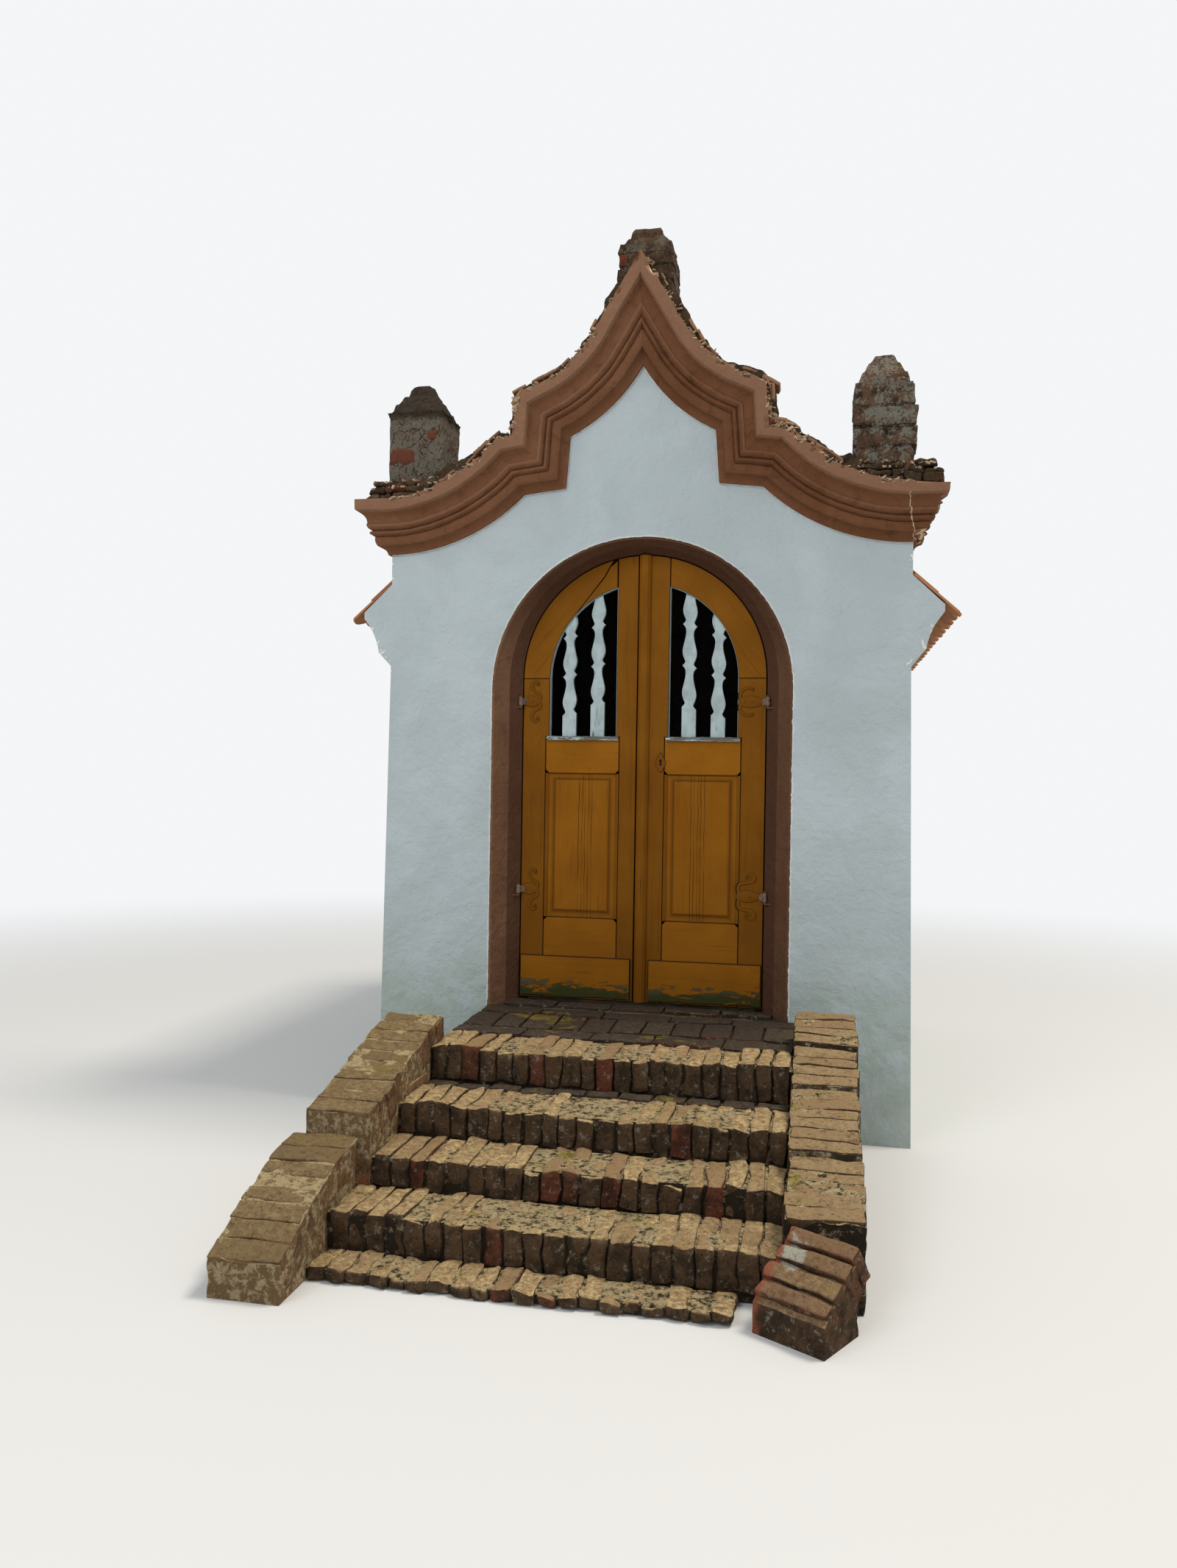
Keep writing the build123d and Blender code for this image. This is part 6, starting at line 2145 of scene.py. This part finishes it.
    def panel(self) -> None:
        """The panel: its margin, a slope up to the raised field, and the field."""
        x0, x1, z0, z1 = self.light_x - 0.004, self.light_r + 0.004, self.panel_foot - 0.004, self.panel_top + 0.004
        levels = ((0.003, 0.034), (0.0, 0.034), (0.0, 0.012), (0.009, 0.0115), (0.036, 0.0115), (0.0395, 0.0085),
                  (0.046, 0.0045))
        # The margin's edges and the foot of the slope take low shades: painted shade in the panel's creases, with
        # grime.
        field_panel = ringed(np.array([(x0, z0), (x1, z0), (x1, z1), (x0, z1)]),
                             tuple((d, self.face + y) for d, y in levels), (0.38, 0.0, 0.05, 0.5, 0.22, 0.46, 0.5))
        self.piece("raised_panel", [field_panel], "door_paint", self.finish.split, ("panel",), 20.0)

    def ledge(self) -> None:
        """The white ledge: a worn, sloping board under the light, its front edge eaten."""
        x = np.linspace(self.light_x - 0.012, self.light_r + 0.012, 60)[:, None]
        y, z = np.array([(0.006, -0.020), (-0.014, -0.019), (-0.0155, -0.012), (-0.013, -0.005), (0.002, 0.001),
                         (0.006, 0.001)]).T
        grid = shaken(points_of(x, self.face + y, self.light_foot + z), 0.0016, 0.02, 40 + self.side)
        grid[..., 1] = np.maximum(grid[..., 1], self.face - 0.014)
        self.piece("sill", [tube(grid)], "white_paint", self.finish.white_across, ("ledge",))

    def balusters(self) -> None:
        """Two flat sawn balusters: a plain foot, then four vases, their heads cut to the arch."""
        heights, widths = VASE.T
        t = np.unique(np.concatenate([heights, np.linspace(0, 1, 30)]))[:-1]
        shape = np.concatenate([[1.0], np.tile(np.interp(t, heights, widths), 4)]) * self.baluster_half
        limit = self.light_r - 0.003

        def under(points: Array) -> Array:
            """The points that lie under the arch of the light."""
            low = points[:, 1] < self.spring
            return points[low | (np.hypot(points[:, 0], points[:, 1] - self.spring) < limit)]

        parts = []
        for x, foot, vase in zip(self.baluster_x, self.feet, self.vases):
            rise = np.concatenate([[0.0], *[foot + vase * (n + t) for n in range(4)]])
            lower = np.where(rise > 0, self.uneven, 0.0)
            left = under(np.column_stack([x - shape, self.light_foot + rise + lower]))
            right = under(np.column_stack([x + shape, self.light_foot + rise - lower]))
            a, b = (atan2(end[-1, 1] - self.spring, end[-1, 0]) for end in (right, left))
            outline = np.concatenate([right, arc(self.centre, limit, a, b, 8), left[::-1]])
            parts.append(board(outline, *(self.face + depth for depth in self.baluster_depths)))
        self.piece("sawn_balusters", parts, "white_paint", self.finish.white, ("balusters",))

    def kick_board(self) -> None:
        """The board across the foot, its lower edge rotted uneven."""
        start, end, top = self.inner + (0.072 if self.side > 0 else 0.014), self.radius - 0.004, self.kick_top
        x = np.linspace(start, end, 90)
        low = self.kick_foot + 0.004 * (1 + rough_noise(points_of(x, 0.0, self.side), 0.05, 8))
        outline = np.concatenate([np.column_stack([x, low]), [(end, top), (start, top)]])
        # Its 4 mm bevel carries the board's dark edge: a painted shadow line along its top, with grime.
        foot = board(outline, self.face - self.kick_thickness, self.face, 0.004)
        self.piece("foot_board", [foot], "door_paint", self.finish.worn, ("kick_board",))

    def ribbon(self, path: Array, half: Array, lift: float) -> Surface:
        """A flat forged strip, its edges rounded off, with a dark rim of grime and painted shadow.

        Args:
            path: Points (x, z) along its middle.
            half: Half its width at each point.
            lift: Its height off the leaf.

        Returns:
            The closed strip.
        """
        ahead = np.gradient(path, axis=0)
        ahead /= np.linalg.norm(ahead, axis=1, keepdims=True)
        across = np.stack([-ahead[:, 1], ahead[:, 0]], axis=1)
        # A rim past the edge with shade 0: painted shadow of the strip's edge, with grime.
        edge = ((0.0042, 0.0), (0.0040, 0.14), (0.0, 0.16), (-0.0012, 0.8), (-0.0032, 1.0))
        ring = [upright(path + across * (way * (half + grow))[:, None], self.face + 0.001 - lift * rise)
                for way, profile in ((-1, edge), (1, edge[::-1])) for grow, rise in profile]
        return tube(np.stack(ring, axis=1), np.tile([0.0, 0.0, 0.0, 0.2, 0.5, 0.5, 0.2, 0.0, 0.0, 0.0], len(path)))

    def straps(self) -> None:
        """Two forged hinge plates with curling arms and nail heads, and the knuckles on their pins."""
        plates, nails, eyes = [], [], []
        circle = np.column_stack([np.cos(TURN), np.sin(TURN)])
        middle = EYE_PLAN.mean(axis=0)
        for z, strap in zip(STRAP_HEIGHTS, STRAPS[self.word]):
            arm, outline = np.array(strap.arm), spline(np.array(strap.plate), 6)
            for way in (-1, 1):
                path = spline(arm[:, :2], 9) * np.array([-1.0, way]) + np.array([self.radius, z])
                half = np.interp(np.linspace(0, len(arm) - 1, len(path)), np.arange(len(arm)), arm[:, 2])
                plates.append(self.ribbon(path, half, self.arm_lift))
                plates.append(board(path[-1] + self.curl * circle, self.face - 0.006, self.face + 0.001, 0.0018))
            body = np.column_stack([self.radius - outline[:, 0], np.full(len(outline), z)])
            plates.append(self.ribbon(body, outline[:, 1], self.plate_lift))
            for away in strap.nails:
                spot = np.array([self.radius - away, z])
                rings = [upright(spot + r * circle, self.face - self.nail_lift - h) for r, h in NAIL]
                # Each nail head's rim ring has shade 0: a painted shadow outline.
                nails.append(tube(np.stack(rings), np.repeat([0.0, 0.5, 0.5, 0.5], len(TURN))))
            rings = [points_of(*(middle + (EYE_PLAN - middle) * s).T, z + h) for s, h in EYE_LEVELS]
            eyes.append(tube(np.stack(rings)))
            rings = np.stack([points_of(*(np.array(PIN) + r * circle).T, z + h) for r, h in KNUCKLE])
            eyes.append(Surface.of(rings, grid_faces(len(KNUCKLE), len(TURN), wrap_rows=True, wrap_columns=True)))
        iron = self.finish.iron
        for name, parts, material in (("scroll_plates", plates, iron), ("plate_nails", nails, iron),
                                      ("knuckles", eyes, self.finish.knuckle)):
            self.piece(name, parts, "strap_iron", material, ("hinge_straps",))

    def cover_strip(self) -> None:
        """The astragal: a strip of chamfered section whose head follows the arch."""
        across = np.array([0.0, 0.0, 0.003, 0.013, 0.016, 0.042, 0.045, 0.055, 0.058, 0.058])
        out = np.array([0.0, 0.010, 0.0125, 0.0225, 0.024, 0.024, 0.0225, 0.0125, 0.010, 0.0])
        x, foot = self.inner + across, self.foot + 0.003
        top = self.spring + np.sqrt(self.radius**2 - x**2)
        grid = points_of(x, self.face - out, foot + (top - foot) * np.linspace(0, 1, 40)[:, None])
        finished("cover_strip", tube(grid), "door_paint", self.finish.upright, ("astragal",), "right_leaf", 24.0)

    def escutcheon(self) -> None:
        """The keyhole plate: a pointed oval with a waist, and a near-black keyhole on it, painted shade for the hole.
        """
        t = np.linspace(0, 2 * pi, 56, endpoint=False)
        x0, z0 = self.keyhole
        wide = 0.0250 * (1 + 0.10 * np.cos(4 * t)) * (0.95 - 0.10 * np.cos(t))
        plate = np.column_stack([x0 + wide * np.sin(t), z0 + 0.047 * np.cos(t) * (1 + 0.08 * np.cos(4 * t))])
        hole = np.concatenate([arc((x0, z0 + 0.009), 0.0072, radians(-50), radians(230), 16),
                               [(x0 - 0.0050, z0 - 0.016), (x0 + 0.0050, z0 - 0.016)]])
        cover = board(plate, self.face - 0.004, self.face + 0.001)
        # The keyhole is not cut: a near-black plate on the cover stands for the shade inside it.
        hollow = board(hole, self.face - 0.0044, self.face - 0.002, 0.0002)
        self.piece("key_plate", [cover], "strap_iron", self.finish.iron)
        self.piece("keyhole", [hollow], "strap_iron", self.finish.hole)

    def build(self) -> None:
        """Makes every piece of the leaf."""
        for make in (self.frame, self.head, self.light_bead, self.panel, self.ledge, self.balusters, self.kick_board,
                     self.straps):
            make()
        if self.side > 0:
            self.cover_strip()
            self.escutcheon()


@dataclass(frozen=True)
class Lamp:
    """A square soft lamp that faces a target; its size is in metres and its power in watts."""

    name: str
    place: Triple
    target: Triple
    size: float
    power: float
    colour: Colour

    def build(self) -> None:
        """Hangs the lamp in the scene."""
        data = bpy.data.lights.new(self.name, "AREA")
        data.shape, data.size, data.energy, data.color = "SQUARE", self.size, self.power, self.colour
        lamp = Studio.link(self.name, data)
        lamp.location = self.place
        lamp.rotation_euler = (Vector(self.target) - Vector(self.place)).to_track_quat("-Z", "Y").to_euler()


@dataclass
class Studio:
    """The camera at the photograph's place, soft lamps, a pale floor and a pale world."""

    place: Triple = (0.8938, -5.5872, 1.7534)
    yaw: float = 11.546
    pitch: float = -0.421
    roll: float = 0.882
    focal: float = 1540.0
    height: float = 2131.0
    film: float = 24.0
    sky: Colour = (0.97, 0.985, 1.0)
    sky_light: float = 0.64
    sky_seen: float = 0.93
    ground: Colour = (0.62, 0.62, 0.61)
    ground_fades: tuple[float, float] = (4.5, 12.0)
    ground_half: float = 30.0
    lamps: tuple[Lamp, ...] = (
        Lamp("key", (8.0, 0.3, 19.0), (0.0, -0.9, 0.6), 5.0, 2900.0, (1.0, 0.93, 0.82)),
        Lamp("front", (-3.0, -7.0, 7.5), (0.0, 0.0, 1.8), 4.0, 240.0, (0.95, 0.98, 1.0)))

    @staticmethod
    def link(name: str, data: bpy.types.ID) -> bpy.types.Object:
        """A new object of the scene.

        Args:
            name: Its name.
            data: Its mesh, lamp or camera.

        Returns:
            The object.
        """
        made = bpy.data.objects.new(name, data)
        bpy.context.scene.collection.objects.link(made)
        return made

    def camera(self) -> None:
        """Sets the camera: turned by yaw about Z, tilted by pitch, then rolled about its own view."""
        y, p, r = radians(self.yaw), radians(self.pitch), radians(self.roll)
        right, ahead, up = Vector((cos(y), sin(y), 0)), Vector((-sin(y), cos(y), 0)), Vector((0, 0, 1))
        view, lifted = ahead * cos(p) + up * sin(p), up * cos(p) - ahead * sin(p)
        side, top = right * cos(r) + lifted * sin(r), lifted * cos(r) - right * sin(r)
        data = bpy.data.cameras.new("photograph")
        data.sensor_fit = "VERTICAL"
        data.sensor_height = self.film
        data.lens = self.focal / self.height * self.film
        camera = self.link("photograph", data)
        camera.matrix_world = Matrix.Translation(self.place) @ Matrix((side, top, -view)).transposed().to_4x4()
        bpy.context.scene.camera = camera

    def world(self) -> None:
        """A soft grey-white sky that the camera and reflections see as white."""
        world = bpy.data.worlds.new("studio")
        world.use_nodes = True
        nodes = Nodes(world.node_tree)
        path = nodes.node("LightPath").outputs
        seen = nodes.math("MAXIMUM", path["Is Camera Ray"], path["Is Glossy Ray"])
        light = nodes.node("MapRange", {"To Min": self.sky_light, "To Max": self.sky_seen, "Value": seen})
        back = world.node_tree.nodes["Background"]
        nodes.put(back.inputs["Strength"], light.outputs[0])
        nodes.put(back.inputs["Color"], self.sky)
        bpy.context.scene.world = world

    def floor(self) -> None:
        """A wide pale floor that the shrine stands on, which fades into the sky."""
        half = self.ground_half
        mesh = bpy.data.meshes.new("studio_floor")
        corners = [(x * half, y * half, 0.0) for x, y in ((-1, -1), (1, -1), (1, 1), (-1, 1))]
        mesh.from_pydata(corners, [], [[0, 1, 2, 3]])
        g = Graph("studio_floor", 0.9, 0.05, self.ground)
        away = g.step(g.node("VectorMath", {0: g.place}, operation="LENGTH").outputs["Value"], *self.ground_fades)
        blend = g.node("MixShader", {0: away, 1: g.shader.outputs[0], 2: g.node("BsdfTransparent").outputs[0]})
        g.put(g.output.inputs[0], blend.outputs[0])
        mesh.materials.append(g.built())
        self.link("studio_floor", mesh)

    def build(self) -> None:
        """Makes camera, world, floor and lamps."""
        bpy.context.scene.view_settings.view_transform = "Standard"
        self.camera()
        self.world()
        self.floor()
        for lamp in self.lamps:
            lamp.build()


def dress_solids() -> None:
    """Gives each carried-over solid its finish."""
    limewash = Limewash().build()
    finishes = {"front_wall": limewash, "side_wall": limewash, "rear_wall": limewash, "eaves_cove": limewash,
                # The reveal's brown: BrownPaint darkens it as painted shade towards the soffit, deeper in and on the
                # right.
                "reveal": BrownPaint("brown_render_reveal", (0.162, 0.080, 0.044), (0.207, 0.110, 0.064),
                                     (0.064, 0.028, 0.016), shaded=False).build(),
                "threshold": PlainGround("threshold_stone", (0.105, 0.088, 0.062), (0.17, 0.145, 0.10)).build(),
                "floor": PlainGround("floor_stone", (0.16, 0.145, 0.12), (0.24, 0.215, 0.175), 5.0).build(),
                "hinge_pins": OldIron("pin_iron", (0.150, 0.066, 0.042), (0.09, 0.036, 0.02), shaded=False).build()}
    for name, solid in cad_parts.items():
        for start, material in finishes.items():
            if name.startswith(start):
                solid.data.materials.clear()
                solid.data.materials.append(material)
                for polygon in solid.data.polygons:
                    polygon.material_index = 0
                log.info("%s: %s", name, material.name)


def build_moulding() -> None:
    """Makes both halves of the run moulding and the lime lips beside its paint and the doorway's."""
    # The right half's browns are darker than the left's, and its lowest band darker (0.50 against 0.22): painted shade
    # over that half.
    right = BrownPaint("brown_render_right", (0.140, 0.057, 0.026), (0.172, 0.075, 0.037), (0.034, 0.014, 0.007),
                       crack=(1.295, 3.0, 0.146, 3.095)).build()
    moulding, doorway = RunMoulding(), Doorway()
    for side, word, brown, band in ((1, "right", right, 0.50), (-1, "left", BrownPaint().build(), 0.22)):
        finished(f"run_moulding_{word}", moulding.build(side, 11 + side, band), "brown_render", brown,
                 (f"gable_moulding_{word}",), crease=28.0)
    lime = Limewash("lime_lip", (0.62, 0.66, 0.66), (0.54, 0.58, 0.57), damp_height=0.1, corner=9.0).build()
    inner = moulding.line.stations((0.0, -0.01), 8)
    gable = np.concatenate([(inner * np.array([-1.0, 1.0]))[::-1], inner[1:]])
    lips = [LimeLip(0.0025).along(gable[:, 0], gable[:, 1], 5),
            LimeLip(0.0018).along(doorway.edge(0.0), doorway.edge(0.01), 15)]
    finished("lime_lips", Surface.joined(lips), "limewash", lime)


def build_gable_top() -> None:
    """Makes the capping, slabs and pinnacles."""
    lichen = Lichen(crust=(0.25, 0.245, 0.20), crust_from=0.485, clay=(0.15, 0.088, 0.052)).build()
    left = Lichen("left_masonry", crust=(0.190, 0.168, 0.130), crust_from=0.42, crust_share=0.92, crack_size=0.045,
                  dark_from=3.60).build()
    centre = Lichen("centre_masonry", clay=(0.105, 0.060, 0.034), crust=(0.140, 0.124, 0.092), crust_from=0.51).build()
    dark = Lichen("dark_masonry", clay=(0.095, 0.060, 0.034), crust=(0.20, 0.17, 0.12), crust_from=0.535).build()
    fragment = ClayTile("broken_tile", (0.34, 0.17, 0.09), (0.12, 0.075, 0.05)).build()
    crumb = PlainGround("lime_crumbs", (0.22, 0.15, 0.09), (0.50, 0.38, 0.24), 26.0, 0.003).build()
    Capping().build(dark, fragment, crumb)
    Slabs().build(dark)
    left_cap = ((-0.012, 0.143), (0.0, 0.146), (0.010, 0.150), (0.018, 0.134), (0.062, 0.117), (0.066, 0.106),
                (0.112, 0.083), (0.116, 0.070), (0.160, 0.053), (0.174, 0.047))
    right_cap = ((-0.012, 0.130), (0.0, 0.137), (0.012, 0.137), (0.016, 0.122), (0.070, 0.103), (0.075, 0.094),
                 (0.120, 0.070), (0.125, 0.062), (0.160, 0.048), (0.174, 0.040))
    centre_cap = ((-0.012, 0.130), (0.0, 0.140), (0.046, 0.128), (0.051, 0.116), (0.092, 0.090), (0.098, 0.082),
                  (0.125, 0.076), (0.146, 0.064))
    patches = ((-1.262, 3.394, 0.150, 0.088), (-1.095, 3.498, 0.072, 0.064))
    Pinnacle("pinnacle_left", -1.192, 3.265, 0.350, left_cap, patches).build(left, 131)
    Pinnacle("pinnacle_right", 1.165, 3.265, 0.380, right_cap, wide=(3.34, 3.54), courses=(0.221, 0.257, 0.257, 0.265),
             cap_shade=0.68).build(lichen, 151)
    Pinnacle("pinnacle_centre", 0.0, 4.0676, 0.300, centre_cap, red_left=0.8).build(centre, 171)


def build_stair() -> None:
    """Makes the stair and its cheek walls."""
    mortar = OldMortar().build()
    # The left cheek walls' mortar: lime-smeared, its earth and lime far paler than the stair mortar's, painted sunlight
    # on the side that faces the stair.
    sunlit_limey = OldMortar("limey_mortar_sunlit", (0.46, 0.36, 0.215), earth=(0.205, 0.128, 0.062), lime_from=0.47,
                      cloud=34.0).build()
    # The landing's bed mortar is kept dark: grime, and painted shade near the wall.
    under = OldMortar("landing_mortar", (0.30, 0.235, 0.145), (0.085, 0.064, 0.042), (0.125, 0.080, 0.043),
                      lime_from=0.52).build()
    coping = OldBrick("coping_brick", (0.17, 0.085, 0.045), (0.105, 0.060, 0.034), (0.43, 0.315, 0.165)).build()
    fallen = OldBrick("fallen_brick", (0.30, 0.095, 0.05), (0.115, 0.066, 0.036), (0.46, 0.315, 0.170),
                      (0.25, 0.150, 0.080), dust_share=0.8, red_ends=True).build()
    # The landing's brick is kept dark: grime and moss, and painted shade near the wall.
    landing = OldBrick("landing_brick", dust=(0.115, 0.085, 0.056), thin_dust=(0.060, 0.044, 0.033),
                       brown=(0.052, 0.036, 0.027), moss_share=0.8, grime=(0.022, 0.017, 0.012)).build()
    # Brick of the left cheek walls, about twice as bright as the stair's: painted sunlight on their side facing the
    # stair.
    sides = OldBrick("side_brick_sunlit", (0.34, 0.135, 0.065), (0.26, 0.145, 0.070), soot=(0.085, 0.055, 0.028),
                     bloom=(0.50, 0.41, 0.26)).build()
    # The left coping's sides are as bright, painted sunlight; its tops hold darker dust.
    worn = OldBrick("left_coping_sunlit", (0.32, 0.13, 0.06), (0.24, 0.135, 0.065), (0.33, 0.235, 0.115),
                    (0.19, 0.130, 0.062), (0.06, 0.04, 0.022)).build()
    Stair().build(OldBrick().build(), mortar, landing, under)
    CheekWall("cheek_right", 0.80, 1.07, -0.370, (0.290, 0.290, 0.440, 0.400), (0.704, 0.608, 0.514, 0.383),
              (0.635, 0.528, 0.404, 0.304), (4, 4, 6, 5)).build(coping, mortar, 501)
    CheekWall("cheek_left_upper", -1.03, -0.76, -0.700, (0.270, 0.560), (0.668, 0.600), (0.606, 0.455),
              (3, 7)).build(worn, sunlit_limey, 521, sides)
    CheekWall("cheek_left_lower", -1.08, -0.81, -1.530, (0.20, 0.20, 0.235), (0.366, 0.325, 0.252),
              (0.330, 0.257, 0.140), (2, 3, 3)).build(worn, sunlit_limey, 541, sides)
    CheekWall("cheek_right_end", 0.815, 1.085, -1.790, (0.220,), (0.290,), (0.130,), (4,), joint=0.014, sunk_bed=0.035,
              turn=-30.0, pivot=(0.815, -1.790)).build(fallen, fallen, 561)


def main() -> None:
    """Builds every sub-assembly in order."""
    logging.basicConfig(level=logging.INFO, format="%(name)s %(message)s")
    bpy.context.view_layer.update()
    Studio().build()
    dress_solids()
    build_moulding()
    build_gable_top()
    TiledRoof().build(ClayTile().build(), PlainGround("roof_board", (0.10, 0.075, 0.05), (0.16, 0.12, 0.08)).build())
    build_stair()
    finish = DoorFinishes()
    Leaf(1, -0.022, finish).build()
    Leaf(-1, 0.028, finish, (0.170, 0.115), (0.200, 0.200)).build()
    bpy.context.view_layer.update()


if __name__ == "__main__":
    main()
